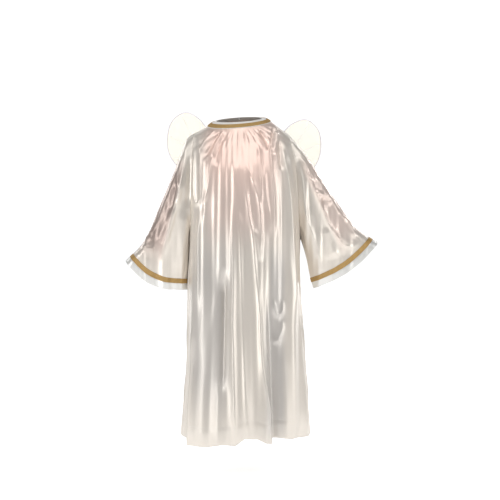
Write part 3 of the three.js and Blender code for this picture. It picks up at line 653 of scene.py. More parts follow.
def even_columns(line, step, closed=False):
    """Fractional columns at even steps along a line of points, and those steps' lengths."""
    if closed:
        line = np.vstack([line, line[:1]])
    along = lengths_along(line)
    count = max(int(round(along[-1] / step)), 4)
    at = np.linspace(0, along[-1], count, endpoint=not closed)
    return np.interp(at, along, np.arange(len(line))), at


def strip(name, points, normals, closed, rows, step, top, under):
    """A flat strip of some thickness laid along a cloth grid. Its section runs over the top, at
    the given rows of the grid and heights, and back underneath at the height under. top is a
    function of the length along the strip and the share across it."""
    columns, at = even_columns(points[int(round(rows.mean()))], step, closed)
    share = (rows - rows[0]) / (rows[-1] - rows[0])
    section_rows = np.concatenate([rows, rows[::-1]])
    grid_rows = np.broadcast_to(section_rows, (len(columns), len(section_rows)))
    grid_columns = np.broadcast_to(columns[:, None], grid_rows.shape)
    where = read_grid(points, grid_rows, grid_columns, closed)
    away = unit(read_grid(normals, grid_rows, grid_columns, closed))
    over = top(at[:, None], share[None, :])
    height = np.concatenate([over, np.full(over.shape, float(under))], axis=1)
    solid = where + away * height[..., None]
    wide = np.linalg.norm(where[0, len(rows) - 1] - where[0, 0])
    across = np.concatenate([share, share[::-1]]) * wide * MM
    uv = np.stack(np.broadcast_arrays(at[:, None] * MM, across[None, :]), axis=-1)
    return grid_mesh(name, solid, (closed, True), True, uv, (not closed, not closed))


STITCH_SPACING, STITCH_LENGTH, STITCH_RADIUS = 4.2, 2.7, 0.34
STITCH_RINGS, STITCH_SIDES = 5, 6


def stitches(points, normals):
    """A row of thread stitches along a line of points: each is a slim round grain, half sunk in
    the cloth, whose radius follows the sine of the share of its length."""
    at, _ = even_columns(points, STITCH_SPACING)
    at = at[1:-1]
    low = np.clip(np.floor(at).astype(int), 0, len(points) - 2)
    part = (at - low)[:, None]
    middle = mix(points[low], points[low + 1], part)
    up = unit(mix(normals[low], normals[low + 1], part))
    along = unit(points[low + 1] - points[low])
    side = np.cross(up, along)
    share = np.linspace(0.04, 0.96, STITCH_RINGS)
    turn = np.arange(STITCH_SIDES) * np.pi / (STITCH_SIDES / 2)
    ring = (STITCH_RADIUS * np.sin(np.pi * share) ** 0.6)[:, None]
    middle, up, along, side = (part[:, None, None, :] for part in (middle, up, along, side))
    local = ((share - 0.5) * STITCH_LENGTH)[:, None, None] * along \
        + (ring * np.cos(turn))[..., None] * side + (ring * np.sin(turn))[..., None] * up
    grains = middle + local + up * STITCH_RADIUS * 0.3
    count = STITCH_RINGS * STITCH_SIDES
    index = np.arange(count).reshape(STITCH_RINGS, STITCH_SIDES)
    a, b = index[:-1], index[1:]
    quads = np.stack([a, np.roll(a, -1, axis=1), np.roll(b, -1, axis=1), b], axis=-1).reshape(-1, 4)
    ends = np.stack([index[0], index[-1][::-1]])
    first = count * np.arange(len(grains))[:, None, None]
    faces = [(part + first).reshape(-1, part.shape[1]).tolist() for part in (quads, ends)]
    mesh = bpy.data.meshes.new("Stitches")
    mesh.from_pydata((grains.reshape(-1, 3) * MM).tolist(), [], faces[0] + faces[1])
    mesh.update()
    mesh.shade_smooth()
    return mesh


def add_piece(name, mesh, material, slot, *nodes):
    """Puts a mesh in the scene on the root body, in place of its CAD nodes."""
    piece = bpy.data.objects.new(name, mesh)
    bpy.context.collection.objects.link(piece)
    mesh.materials.append(material)
    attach(piece, "root")
    if nodes:
        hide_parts(*nodes)
    return piece


def thicken(piece, wall):
    """Gives a sheet its wall in millimetres, inwards from the outer face."""
    solid = piece.modifiers.new("Cloth wall", "SOLIDIFY")
    solid.thickness = wall * MM
    solid.offset = -1
    solid.use_rim = True


# The neckband's grid, and how far it turns to each side before its ends meet at the back
BAND_ROWS, BAND_COLUMNS, BAND_TURN = 30, 361, 179.75
NECK_BRAID_SPAN = (0.5, 0.92)
# Rows of the neckband that a line of stitches follows, and how far each is raised
BAND_STITCHES = ((6.0, -0.35), (14.4, 0.0), (28.8, -0.3))
# Rows of the neckband's own strip, closer where its face is stepped
BAND_SECTION = (0, 0.4, 1, 2, 3, 4, 5, 6, 7, 8, 10, 13, 17, 21, 25, 27, 28, 29, 29.6, 30)
BRAID_STEPS = 25


@lru_cache
def neckband():
    """The neckband's outer face, from the neck edge down to the seam and once round from the
    centre back, as points and normals in mm."""
    turn = np.linspace(-BAND_TURN, BAND_TURN, BAND_COLUMNS)
    edge, seam = neck_points(NECK_EDGE, turn), neck_points(NECK_SEAM, turn)
    down = np.linspace(0, 1, BAND_ROWS + 1)[:, None, None]
    points = mix(edge[None], seam[None], down)
    points[..., 2] += BAND_BOW * np.sin(np.pi * down[..., 0])
    normal = np.cross(np.gradient(points, axis=0), np.gradient(points, axis=1))
    return points, unit(normal)


def band_top(along, share):
    """Height of the neckband's outer face: rolled at the neck edge, with a stitched valley
    below the roll and another above the seam."""
    roll = 0.9 * np.exp(-((share - 0.06) / 0.06) ** 2)
    valleys = 0.5 * np.exp(-((share - 0.2) / 0.03) ** 2) + 0.4 * np.exp(-((share - 0.96) / 0.025) ** 2)
    return roll - valleys + 0.12 * np.sin(along / 2.3) * np.exp(-((share - 0.2) / 0.1) ** 2)


def braid_top(along, share):
    """Height of the braid's face: a raised cord at each edge and three plaits between, whose
    strands slant one way and then the other."""
    across = share * 3
    lane = np.floor(np.clip(across, 0, 2.999))
    inside = across - lane
    slant = np.where(lane % 2 == 0, inside, 1 - inside)
    strand = np.abs(np.sin(np.pi * (along / 3.4 + slant * 0.9)))
    plait = 0.55 + 0.75 * strand ** 0.6 * np.sin(np.pi * np.clip(inside, 0.04, 0.96)) ** 0.5
    edge = np.maximum(np.exp(-((share - 0.035) / 0.035) ** 2), np.exp(-((share - 0.965) / 0.035) ** 2))
    return 0.3 + plait * (1 - edge) + edge * (1.25 + 0.15 * np.sin(along * 2.4))


# Wings: one teardrop outline in steps outward and up from the hub, mirrored for the other side,
# both leaning together. They lie flat on the pad and sweep back beyond it.
WING_HUB = (2.0, -140.0)
WING_LEAN, WING_SWEEP, WING_FLAT = -3.4, 11.0, 30.0
WING_WIRE, WING_WRAP, RIM_STEPS = 1.6, 0.22, 900
# The net's rings close in on this point, and bulge back by so much there
NET_CENTRE = (150.0, 80.0)
NET_RINGS, NET_SWELL, NET_RIPPLE, NET_RIPPLE_SPAN = 44, 3.0, 0.5, 9
WING_OUTLINE = [(10, -14), (60, -22), (130, -12), (202, 18), (240, 62), (251, 112), (238, 172), (196, 201),
                (150, 182), (100, 120), (52, 58), (10, 22)]
# Veins run from a point near the hub to a point of the outline, bowed by a share of their length;
# their radius falls from near the hub to the rim. Ties are the places of the wire's bindings.
VEIN_START, VEIN_RADIUS, VEIN_STEPS = (26.0, 6.0), (0.75, 0.4), 40
VEINS = [(0.22, 0.10), (0.34, 0.06), (0.45, 0.0), (0.56, -0.06), (0.66, -0.10)]
TIES = {-1: 0.485, 1: 0.47}


def closed_line(points, count):
    """A smooth closed curve through points, at even steps along it."""
    p = np.array(points, float)
    line, along = smooth_line(np.vstack([p[-2:], p, p[:3]]), count=(len(p) + 4) * 60)
    steps = np.linalg.norm(line - p[0], axis=1)
    start = int(np.argmin(steps[: len(line) // 2]))
    end = len(line) // 2 + int(np.argmin(steps[len(line) // 2:]))
    line, along = line[start:end + 1], along[start:end + 1] - along[start]
    return points_at(line, along, np.linspace(0, along[-1], count, endpoint=False))


def wing_place(side, out, up):
    """A wing's plane: steps outward and up from the hub as points in mm, leaning and swept
    back, with the rim's own depth read from the frame's wing."""
    x = side * out
    lean, depth = math.radians(WING_LEAN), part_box("wing_rim_left")[0][1] / MM + WING_WIRE
    return np.stack([
        WING_HUB[0] + x * math.cos(lean) - up * math.sin(lean),
        depth + np.maximum(out - WING_FLAT, 0) * math.tan(math.radians(WING_SWEEP)),
        WING_HUB[1] + x * math.sin(lean) + up * math.cos(lean),
    ], axis=-1)


def tube(name, line, radius, closed=False, sides=10, twist=0.0, relief=0.0):
    """A round tube along a line of points. Its radius may carry a wrapped strand's relief, which
    turns round the tube by twist radians for each millimetre along."""
    nxt, last = np.roll(line, -1, axis=0), np.roll(line, 1, axis=0)
    if not closed:
        nxt[-1], last[0] = line[-1], line[0]
    along = unit(nxt - last)
    out = unit(np.cross(along, [0.0, 1.0, 0.0]))
    lift = np.cross(along, out)
    turn = np.arange(sides) * 2 * np.pi / sides
    at = lengths_along(line)[:, None]
    size = np.broadcast_to(radius, (len(line),))[:, None] + relief * np.abs(np.sin((at * twist + turn) / 2))
    ring = size[..., None] * (np.cos(turn)[:, None] * out[:, None] + np.sin(turn)[:, None] * lift[:, None])
    uv = np.stack(np.broadcast_arrays(at * MM, turn[None, :] / (2 * np.pi)), axis=-1)
    return grid_mesh(name, line[:, None] + ring, (closed, True), True, uv, (not closed, not closed))


class Value:
    """A shader socket that can be used in plain arithmetic. Each step adds a Math node."""

    def __init__(self, shader, socket):
        self.shader, self.socket = shader, socket

    def __add__(self, other):
        return self.shader.math("ADD", self, other)

    def __sub__(self, other):
        return self.shader.math("SUBTRACT", self, other)

    def __rsub__(self, other):
        return self.shader.math("SUBTRACT", other, self)

    def __mul__(self, other):
        return self.shader.math("MULTIPLY", self, other)

    __radd__ = __add__
    __rmul__ = __mul__


class Shader:
    """A material under construction, with its Principled shader."""

    def __init__(self, name, **constants):
        self.material = bpy.data.materials.new(name)
        self.material.use_nodes = True
        self.tree = self.material.node_tree
        self.surface = self.tree.nodes["Principled BSDF"]
        for socket, value in constants.items():
            self.surface.inputs[socket.replace("_", " ")].default_value = value

    def node(self, kind, settings=None, inputs=None):
        """A node of any type: its settings are set first, then its sockets' values or links."""
        made = self.tree.nodes.new("ShaderNode" + kind)
        for key, value in (settings or {}).items():
            setattr(made, key, value)
        for key, value in (inputs or {}).items():
            self.feed(made.inputs[key], value)
        return made

    def feed(self, socket, value):
        """Links a socket to a value's output, or sets its own number or colour."""
        if isinstance(value, Value):
            self.tree.links.new(value.socket, socket)
        else:
            socket.default_value = value

    def out(self, node, output=0):
        return Value(self, node.outputs[output])

    def math(self, operation, a, b=0.0, clamp=False):
        return self.out(self.node("Math", {"operation": operation, "use_clamp": clamp}, {0: a, 1: b}))

    def place(self, kind="Object"):
        """The piece's own coordinates: Object for the frame's metres, UV for the cloth's."""
        return self.out(self.node("TexCoord"), kind)

    def axes(self, vector):
        split = self.node("SeparateXYZ", inputs={0: vector})
        return [self.out(split, k) for k in range(3)]

    def noise(self, vector, scale, detail=2.0, stretch=(1.0, 1.0, 1.0)):
        """Noise from 0 to 1, drawn out along each axis by one over its stretch."""
        where = self.out(self.node("Mapping", inputs={"Vector": vector, "Scale": stretch}))
        made = self.node("TexNoise", inputs={"Vector": where, "Scale": scale, "Detail": detail})
        return self.out(made, "Fac")

    def ramp(self, value, low, high):
        """0 below low and 1 above high, with a smooth step between."""
        made = self.node("MapRange", {"interpolation_type": "SMOOTHSTEP"},
                         {"Value": value, "From Min": low, "From Max": high})
        return self.out(made)

    def blend(self, share, first, second):
        """A mix of two colours, each a Value or the name of one of the costume's colours."""
        sizes = bpy.context.scene.angel_costume
        first, second = ((*getattr(sizes, colour), 1) if isinstance(colour, str) else colour
                         for colour in (first, second))
        made = self.node("Mix", {"data_type": "RGBA"}, {0: share, 6: first, 7: second})
        return self.out(made, 2)

    def band(self, value, low, high, soft):
        """1 between low and high, with soft edges."""
        return self.ramp(value, low - soft, low + soft) * (1 - self.ramp(value, high - soft, high + soft))

    def finish(self, **values):
        """Feeds the sockets that vary and returns the material."""
        for socket, value in values.items():
            self.feed(self.surface.inputs[socket.replace("_", " ")], value)
        return self.material

    def bump(self, height, strength, distance):
        return self.out(self.node("Bump", inputs={
            "Height": height, "Strength": strength, "Distance": distance}))


@lru_cache
def satin_material():
    """Ivory satin: a bright lengthwise sheen and fine threads, with painted shading in peach and rose
    below the neck, painted shade in rose along the left sleeve and in taupe along the right one,
    painted shade in grey down the skirt and its own colour at turned hems. A painted patch's place
    drifts with a noise, and each arm's is a band beside a slanting line, by the distance along the
    arm and across it."""
    shader = Shader("Satin", Anisotropic=0.6, Sheen_Weight=0.15, Sheen_Roughness=0.4,
                    Specular_IOR_Level=0.6, IOR=1.5)
    where = shader.place("Object")
    x, y, z = shader.axes(where)
    front = shader.ramp(y * -1.0, -0.02, 0.03)
    drift = shader.noise(where, 6.0, 3.0, (1.0, 1.0, 0.4)) - 0.5
    x1, z1 = x + drift * 0.06, z + drift * 0.10
    # Painted shading: rose over the chest, stronger at the front, and peach below the neck, at the front
    # only
    chest = shader.band(x1, -0.105, 0.105, 0.04) * shader.band(z1, -0.34, 0.02, 0.08)
    warm = shader.band(x1, -0.10, 0.10, 0.05) * shader.band(z1, -0.17, 0.08, 0.09)
    x2, z2 = x + drift * 0.02, z + drift * 0.03
    # Painted shade over each upper sleeve where the arm lies inside it: rose on the left, taupe on the
    # right
    arms = []
    for (ax, az), (bx, bz), slant, edge, start in (
        ((0.629, -0.777), (0.777, 0.629), 0.267, 0.130, 0.20),
        ((-0.5, -0.866), (-0.866, 0.5), 0.28, 0.144, 0.19),
    ):
        along = x2 * ax + z2 * az
        across = x2 * bx + z2 * bz + along * slant
        arms.append(shader.band(across, edge, 0.40, 0.010) * shader.band(along, start, 0.47, 0.05))
    # Painted shade down the skirt: a narrow band at the left, by the forward fold's left edge, and a wider
    # one at the right
    grey = shader.band(x1, 0.078, 0.132, 0.012) * shader.band(z1, -0.92, -0.40, 0.06)
    shade = shader.band(x1, -0.155, -0.035, 0.03) * shader.band(z1, -0.84, -0.36, 0.10)
    colour = shader.blend(chest * (0.3 + 0.5 * front) + arms[0] * 0.65,
                          "satin", "satin_rose_shading")
    colour = shader.blend(warm * front * 0.85, colour, "satin_peach_shading")
    colour = shader.blend(arms[1] * 0.95, colour, "satin_taupe_shade")
    colour = shader.blend(grey * 0.8 + shade * 0.7, colour, "satin_grey_shade")
    trim = shader.out(shader.node("Attribute", {"attribute_name": "Trim"}), "Fac")
    colour = shader.blend(trim, colour, "satin_hem")
    cloth = shader.place("UV")
    thread = shader.noise(cloth, 900.0, 2.0, (1.0, 0.06, 1.0))
    slub = shader.noise(cloth, 60.0, 3.0, (1.0, 0.05, 1.0))
    skirt = shader.ramp(z * -1.0, 0.42, 0.78)
    rough = 0.25 + 0.10 * slub + 0.04 * thread + 0.04 * skirt
    normal = shader.bump(thread * 0.5 + slub * 0.5, 0.12, 0.0006)
    return shader.finish(Base_Color=colour, Metallic=0.5 - 0.1 * skirt, Roughness=rough, Normal=normal)


@lru_cache
def band_material():
    """Ivory cotton for the neckband: a plain weave of crossing threads."""
    shader = Shader("Band cloth", Sheen_Weight=0.3, Sheen_Roughness=0.5, Specular_IOR_Level=0.4)
    u, v, _ = shader.axes(shader.place("UV"))
    weave = shader.math("SINE", u * 5200.0) * shader.math("SINE", v * 5200.0)
    patch = shader.noise(shader.place("Object"), 40.0, 3.0)
    colour = shader.blend(patch * 0.5 + weave * 0.08, "satin_hem", "satin")
    return shader.finish(Base_Color=colour, Roughness=0.5 + 0.12 * patch,
                         Normal=shader.bump(weave * 0.5 + patch, 0.15, 0.0004))


@lru_cache
def braid_material():
    """Gold braid: metallic yarn with painted shade between its fine threads, which slant to and fro
    across the braid, and unevenly worn."""
    shader = Shader("Gold braid", Anisotropic=0.3, Specular_IOR_Level=0.6)
    u, v, _ = shader.axes(shader.place("UV"))
    lane = shader.math("PINGPONG", v, 0.0045)
    yarn = shader.math("SINE", (u + lane) * 7400.0)
    worn = shader.noise(shader.place("UV"), 420.0, 3.0)
    # The yarn's stripes paint shade between the threads, and worn adds uneven wear
    share = 0.35 + 0.25 * yarn + 0.5 * worn
    share = shader.math("MULTIPLY", share, 1.0, clamp=True)
    colour = shader.blend(share, "braid_shade_and_wear", "braid")
    return shader.finish(Base_Color=colour, Metallic=0.35 + 0.25 * worn, Roughness=0.42 + 0.15 * worn,
                         Normal=shader.bump(yarn * 0.5 + worn, 0.35, 0.0005))


@lru_cache
def thread_material():
    """Cream sewing thread with a fine twist."""
    shader = Shader("Thread", Sheen_Weight=0.2, Specular_IOR_Level=0.5)
    twist = shader.noise(shader.place("Object"), 1400.0, 2.0)
    colour = shader.blend(twist, "satin", "satin_hem")
    return shader.finish(Base_Color=colour, Roughness=0.45 + 0.15 * twist)


@lru_cache
def wrapped_material():
    """Pale tape wrapped round the wings' wires, with painted shade between its turns."""
    shader = Shader("Wrapped wire", Sheen_Weight=0.2, Specular_IOR_Level=0.5)
    u, v, _ = shader.axes(shader.place("UV"))
    turns = shader.math("SINE", u * 2400.0 + v * 6.2832) * 0.5 + 0.5
    worn = shader.noise(shader.place("Object"), 90.0, 3.0)
    # Painted shade between the tape's turns, and uneven wear
    colour = shader.blend(turns * 0.6 + worn * 0.3, "wire_shade_and_wear", "wire")
    return shader.finish(Base_Color=colour, Roughness=0.45 + 0.15 * worn,
                         Normal=shader.bump(turns, 0.3, 0.0004))


@lru_cache
def vein_material():
    """Fine silvery lilac cord of the veins and the rim's binding."""
    shader = Shader("Vein cord", Specular_IOR_Level=0.5)
    worn = shader.noise(shader.place("Object"), 260.0, 2.0)
    colour = shader.blend(worn, "wire_shade_and_wear", "wire")
    return shader.finish(Base_Color=colour, Roughness=0.4 + 0.2 * worn)


@lru_cache
def gauze_material():
    """Sheer cream net: a fine mesh of crossing threads with clearer holes between them, faintly
    uneven, with a faint painted glow in its own colour."""
    # The faint emission is a painted glow that brightens the net
    shader = Shader("Wing gauze", Sheen_Weight=0.3, Specular_IOR_Level=0.4, Emission_Strength=0.06)
    u, v, _ = shader.axes(shader.place("UV"))
    one, other = (shader.ramp(shader.math("ABSOLUTE", shader.math("SINE", slant * 2600.0)), 0.75, 0.98)
                  for slant in (u + v, u - v))
    net = shader.math("MAXIMUM", one, other)
    cloud = shader.noise(shader.place("Object"), 22.0, 3.0)
    colour = shader.blend(cloud * 0.4, "gauze", "satin_hem")
    alpha = 0.36 + 0.24 * net + 0.12 * cloud
    return shader.finish(Base_Color=colour, Emission_Color=colour, Roughness=0.45 + 0.1 * cloud,
                         Alpha=alpha, Normal=shader.bump(net, 0.1, 0.0003))


def tint(name, description, default):
    """A colour that a maker would change."""
    return FloatVectorProperty(name=name, description=description, default=default,
                               subtype="COLOR", size=3, min=0, max=1)


class CostumeSizes(bpy.types.PropertyGroup):
    """The costume's colours and the camera's distance."""
    satin: tint("Satin", "Main colour of the satin", (0.76, 0.70, 0.625))
    # Painted shading at the chest and painted shade over the left upper sleeve
    satin_rose_shading: tint("Satin, rose", "Tint at the chest and upper sleeves", (0.77, 0.61, 0.54))
    # Painted shading below the neck
    satin_peach_shading: tint("Satin, peach", "Tint below the neck", (0.88, 0.65, 0.56))
    # Painted shade over the right upper sleeve
    satin_taupe_shade: tint("Satin, taupe", "Tint of the right upper sleeve", (0.42, 0.33, 0.29))
    # Painted shade down the skirt
    satin_grey_shade: tint("Satin, grey", "Tint down the skirt", (0.55, 0.52, 0.49))
    satin_hem: tint("Satin, hems", "Colour of the double cloth at the hems", (0.79, 0.78, 0.75))
    braid: tint("Braid", "Colour of the gold braid", (0.56, 0.36, 0.13))
    # Painted shade in the braid's hollows, and the colour of its wear
    braid_shade_and_wear: tint("Braid, hollows", "Colour in the braid's hollows", (0.30, 0.18, 0.06))
    wire: tint("Wire wrap", "Tape round the wings' wires", (0.95, 0.92, 0.93))
    # Painted shade between the tape's turns, and the tone of wear on the tape and the veins
    wire_shade_and_wear: tint("Wire wrap, shade", "Darker turns of the tape", (0.66, 0.63, 0.68))
    gauze: tint("Gauze", "Colour of the wings' net", (1.0, 0.91, 0.66))
    camera_distance: FloatProperty(name="Camera distance", description="From the camera to the robe",
                                   subtype="DISTANCE", unit="LENGTH", default=3.2, min=1, max=10)


# How much of the hem colour the robe's own hem takes
HEM_TINT = 0.05


class COSTUME_OT_panels(bpy.types.Operator):
    """Make the front, the two backs and the sleeves"""
    bl_idname = "costume.panels"
    bl_label = "Robe panels"

    def execute(self, context):
        for name, (points, _, closed) in robe().items():
            mesh = grid_mesh(name + "_cloth", points, (False, closed))
            paint(mesh, "Trim", trim_share(points, closed) * (1 if closed else HEM_TINT))
            piece = add_piece(name + "_cloth", mesh, satin_material(), "satin", name)
            thicken(piece, WALL)
        return {"FINISHED"}


class COSTUME_OT_neckband(bpy.types.Operator):
    """Make the neckband"""
    bl_idname = "costume.neckband"
    bl_label = "Neckband"

    def execute(self, context):
        points, normals = neckband()
        rows = np.array(BAND_SECTION, float)
        mesh = strip("neckband_cloth", points, normals, False, rows, step=2.0, top=band_top, under=-1.7)
        piece = add_piece("neckband_cloth", mesh, band_material(), "band_cloth", "neckband")
        return {"FINISHED"}


class COSTUME_OT_braid(bpy.types.Operator):
    """Make the gold braid round the neck and the cuffs"""
    bl_idname = "costume.braid"
    bl_label = "Gold braid"

    def execute(self, context):
        rows = np.linspace(*NECK_BRAID_SPAN, BRAID_STEPS) * BAND_ROWS
        places = [("neck_braid", (*neckband(), False), rows)]
        for side in ("left", "right"):
            sleeve = robe()["sleeve_" + side]
            ring = len(sleeve[0]) - 1
            last = ring - CUFF_ROWS * CUFF_EDGE / (CUFF_EDGE + CUFF_BRAID_WIDTH)
            places.append((f"cuff_braid_{side}", sleeve, np.linspace(ring - CUFF_ROWS, last, BRAID_STEPS)))
        for node, (points, normals, closed), rows in places:
            mesh = strip(node + "_gold", points, normals, closed, rows, step=0.8, top=braid_top, under=0.3)
            add_piece(node + "_gold", mesh, braid_material(), "gold_braid", node)
        return {"FINISHED"}


class COSTUME_OT_stitching(bpy.types.Operator):
    """Make the stitching at the neck, the cuffs, the braid and the hem"""
    bl_idname = "costume.stitching"
    bl_label = "Stitching"

    def execute(self, context):
        made = []
        points, normals = neckband()
        columns = np.arange(points.shape[1], dtype=float)
        for row, up in BAND_STITCHES:
            rows = np.full(columns.shape, row)
            away = read_grid(normals, rows, columns)
            made.append(stitches(read_grid(points, rows, columns) + away * up, away))
        for name, (points, normals, closed) in robe().items():
            if closed:
                places = [len(points) - 1 - CUFF_ROWS - 1, len(points) - 4]
            else:
                places = [int(np.argmin(np.abs(points[:, 0, 2] - HEM - HEM_STITCH)))]
            for row in places:
                line, away = points[row], normals[row]
                if closed:
                    line, away = np.vstack([line, line[:1]]), np.vstack([away, away[:1]])
                made.append(stitches(line, away))
        threads = joined(made, "costume_stitching")
        add_piece(threads.name, threads, thread_material(), "satin")
        return {"FINISHED"}


class COSTUME_OT_wings(bpy.types.Operator):
    """Make the wings' wrapped wires, gauze and veins"""
    bl_idname = "costume.wings"
    bl_label = "Wings"

    def execute(self, context):
        flat = closed_line(WING_OUTLINE, RIM_STEPS)
        for side, name in ((1, "left"), (-1, "right")):
            rim = wing_place(side, flat[:, 0], flat[:, 1])
            node = "wing_rim_" + name
            wire = tube(node + "_wrapped", rim, WING_WIRE - 0.18, True, twist=2.4, relief=WING_WRAP)
            add_piece(node + "_wrapped", wire, wrapped_material(), "wing_wire", node)
            share = np.linspace(0.03, 0.993, NET_RINGS)[:, None, None]
            spread = mix(np.array(NET_CENTRE), flat[None, ::4], share)
            points = wing_place(side, spread[..., 0], spread[..., 1])
            points[..., 1] += NET_SWELL * (1 - share[..., 0] ** 2) \
                + NET_RIPPLE * np.sin(spread[..., 0] / NET_RIPPLE_SPAN) * (1 - share[..., 0])
            node = "wing_gauze_" + name
            sheet = grid_mesh(node + "_net", points[::side], (False, True), uv=(spread * MM)[::side],
                              caps=(side > 0, side < 0))
            net = add_piece(node + "_net", sheet, gauze_material(), "wing_gauze", node)
            veins = [vein(points, flat, spread, *row) for row in VEINS] + [tie(rim, TIES[side])]
            cords = joined(veins, "wing_veins_" + name)
            add_piece(cords.name, cords, vein_material(), "wing_wire")
        return {"FINISHED"}


def vein(net, flat, spread, share, bow):
    """A fine cord on the net, from near the hub to the rim, that thins outwards. It goes through
    the net's points that lie nearest to its line, then is smoothed."""
    start, end = np.array(VEIN_START), flat[int(share * len(flat))]
    t = np.linspace(0, 1, VEIN_STEPS)[:, None]
    across = np.array([-(end - start)[1], (end - start)[0]])
    line = mix(start, end, t * 0.97) + across * bow * np.sin(np.pi * t) * 1.6
    away = ((spread.reshape(1, -1, 2) - line[:, None]) ** 2).sum(axis=2)
    points = net.reshape(-1, 3)[away.argmin(axis=1)]
    for _ in range(4):
        points[1:-1] = (points[:-2] + 2 * points[1:-1] + points[2:]) / 4
    return tube("Vein", points, mix(*VEIN_RADIUS, t[:, 0]), sides=6)


def tie(rim, share):
    """A short binding round the rim, where the wire's wrapping ends."""
    middle = int(share * len(rim))
    line = rim[middle - 6:middle + 7]
    swell = np.sin(np.linspace(0.12, np.pi - 0.12, 13))
    return tube("Tie", line, WING_WIRE + 0.25 + 0.5 * swell, sides=10, twist=4.0, relief=0.2)


# The pad: steps round it, how square its corners are, the share of its reach at which its edge
# starts to round off, and how far it lies off the cloth; then the patch of cloth behind it, as
# the x and z of its middle and how far it reaches from there
PAD_STEPS, PAD_CORNER, PAD_ROUND, PAD_GAP = 96, 5.0, 0.8, 0.5
PAD_MIDDLE, PAD_WINDOW = (11, -115), (45, 70)


class COSTUME_OT_pad(bpy.types.Operator):
    """Make the small pad that carries the wings: two faces, the inner one laid on the cloth,
    whose outline is a rounded square, with a quilted line near its edge"""
    bl_idname = "costume.pad"
    bl_label = "Wing pad"

    def execute(self, context):
        low, high = (np.array(corner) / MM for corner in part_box("wing_pad"))
        turn = np.arange(PAD_STEPS) * 2 * np.pi / PAD_STEPS
        reach = np.concatenate([np.linspace(0.04, 0.96, 16), [1.0], np.linspace(0.97, 0.04, 12)])[:, None]
        outer = np.concatenate([np.ones(17), -np.ones(12)])[:, None]
        round_off = np.sqrt(1 - ((reach - PAD_ROUND) / (1 - PAD_ROUND)).clip(0, 1) ** 2)
        half = (high - low) / 2
        square = np.abs(np.cos(turn)) ** PAD_CORNER + np.abs(np.sin(turn)) ** PAD_CORNER
        square = square ** (-1 / PAD_CORNER)
        x = (low[0] + high[0]) / 2 + half[0] * reach * (square * np.cos(turn))
        z = (low[2] + high[2]) / 2 + half[2] * reach * (square * np.sin(turn))
        cloth = np.concatenate([robe()[name][0].reshape(-1, 3) for name in PANELS[1:3]])
        near = cloth[(np.abs(cloth[:, [0, 2]] - PAD_MIDDLE) < PAD_WINDOW).all(axis=1)]
        gap = (near[:, 0] - x.reshape(-1, 1)) ** 2 + (near[:, 2] - z.reshape(-1, 1)) ** 2
        seat = near[gap.argmin(axis=1), 1].reshape(x.shape) + PAD_GAP
        quilt = 0.5 * np.exp(-((reach - 0.86) / 0.04) ** 2)
        face = mix(seat, high[1] - quilt, 0.5 + 0.5 * outer * round_off)
        points = np.stack([x, face, z], axis=-1)
        mesh = grid_mesh("wing_pad_cover", points, (False, True), True, caps=(True, True))
        piece = add_piece("wing_pad_cover", mesh, satin_material(), "satin", "wing_pad")
        return {"FINISHED"}


# Camera: the middle of the view in the frame, and how wide the view is at the robe, in metres
VIEW_MIDDLE = (0.028, -0.374)
VIEW_WIDTH = 1.5565
SENSOR = 36
# Lights, all aimed at one point: place and size in metres, and power in watts
LIGHT_AIM = (0.02, 0.0, -0.45)
LIGHTS = (
    ("Left strip", (-2.7, -1.9, 0.0), (0.22, 3.2), 33),
    ("Right strip", (2.8, -1.7, -0.1), (0.20, 3.2), 25),
    ("Front top", (0.15, -1.6, 1.3), (2.8, 1.7), 18),
    ("Over", (0.0, -0.3, 2.4), (2.2, 1.6), 12),
    ("Back left", (2.0, 2.6, 0.4), (0.3, 2.6), 22),
    ("Back right", (-2.2, 2.4, 0.4), (0.3, 2.6), 14),
)
WORLD_COLOUR, WORLD_STRENGTH = (0.96, 0.97, 1.0, 1), 0.22


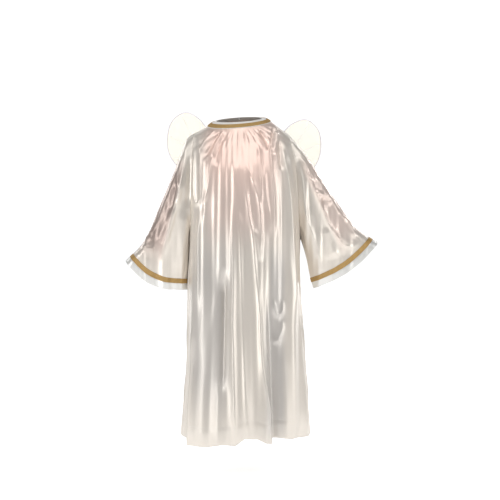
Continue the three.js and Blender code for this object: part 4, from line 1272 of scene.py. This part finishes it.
class COSTUME_OT_stage(bpy.types.Operator):
    """Make the floor, the lights and the camera"""
    bl_idname = "costume.stage"
    bl_label = "Stage"

    def execute(self, context):
        scene = context.scene
        distance = scene.angel_costume.camera_distance
        camera = bpy.data.objects.new("Camera", bpy.data.cameras.new("Camera"))
        context.collection.objects.link(camera)
        camera.location = (VIEW_MIDDLE[0], -distance, VIEW_MIDDLE[1])
        camera.rotation_euler = (math.pi / 2, 0, 0)
        camera.data.sensor_width = SENSOR
        camera.data.lens = SENSOR * distance / VIEW_WIDTH
        scene.camera = camera
        for name, place, size, power in LIGHTS:
            data = bpy.data.lights.new(name, "AREA")
            data.shape = "ELLIPSE"
            data.size, data.size_y = size
            data.energy = power
            light = bpy.data.objects.new(name, data)
            light.location = place
            aim = Vector(LIGHT_AIM) - light.location
            light.rotation_euler = aim.to_track_quat("-Z", "Y").to_euler()
            context.collection.objects.link(light)
        world = bpy.data.worlds.new("Studio")
        scene.world = world
        world.use_nodes = True
        back = world.node_tree.nodes["Background"]
        back.inputs["Color"].default_value = WORLD_COLOUR
        back.inputs["Strength"].default_value = WORLD_STRENGTH
        scene.view_settings.view_transform = "Standard"
        scene.view_settings.look = "None"
        add_sweep(context)
        return {"FINISHED"}


def add_sweep(context):
    """A white floor that curves up behind: flat, then a quarter round, then a wall."""
    floor, wall, radius, half, front, top = -1.049, 5.0, 1.6, 7.0, -6.0, 4.0
    turn = np.linspace(0, np.pi / 2, 16)
    y = np.concatenate([[front], wall - radius + radius * np.sin(turn), [wall]])[:, None]
    z = np.concatenate([[floor], floor + radius - radius * np.cos(turn), [top]])[:, None]
    points = np.stack(np.broadcast_arrays([[-half, half]], y, z), axis=-1)[::-1]
    mesh = grid_mesh("Sweep", points / MM)
    sweep = bpy.data.objects.new("Sweep", mesh)
    context.collection.objects.link(sweep)
    shader = Shader("Sweep", Roughness=0.9, Emission_Strength=0.62)
    mesh.materials.append(shader.finish(Base_Color=(0.86, 0.86, 0.86, 1), Emission_Color=(1, 1, 1, 1)))


class COSTUME_PT_panel(bpy.types.Panel):
    """The costume's pieces"""
    bl_label = "Angel costume"
    bl_idname = "COSTUME_PT_panel"
    bl_space_type = "VIEW_3D"
    bl_region_type = "UI"
    bl_category = "Costume"

    def draw(self, context):
        sizes = context.scene.angel_costume
        for name in sizes.bl_rna.properties.keys():
            if name not in {"rna_type", "name"}:
                self.layout.prop(sizes, name)
        for operator in OPERATORS:
            self.layout.operator(operator.bl_idname)


OPERATORS = (COSTUME_OT_panels, COSTUME_OT_neckband, COSTUME_OT_braid, COSTUME_OT_stitching,
             COSTUME_OT_wings, COSTUME_OT_pad, COSTUME_OT_stage)
CLASSES = (CostumeSizes, *OPERATORS, COSTUME_PT_panel)


def register():
    for made in CLASSES:
        bpy.utils.register_class(made)
    bpy.types.Scene.angel_costume = PointerProperty(type=CostumeSizes)


def unregister():
    del bpy.types.Scene.angel_costume
    for made in reversed(CLASSES):
        bpy.utils.unregister_class(made)


def main():
    """Registers the add-on and makes every piece."""
    register()
    for operator in OPERATORS:
        group, name = operator.bl_idname.split(".")
        getattr(getattr(bpy.ops, group), name)()


if __name__ == "__main__":
    main()
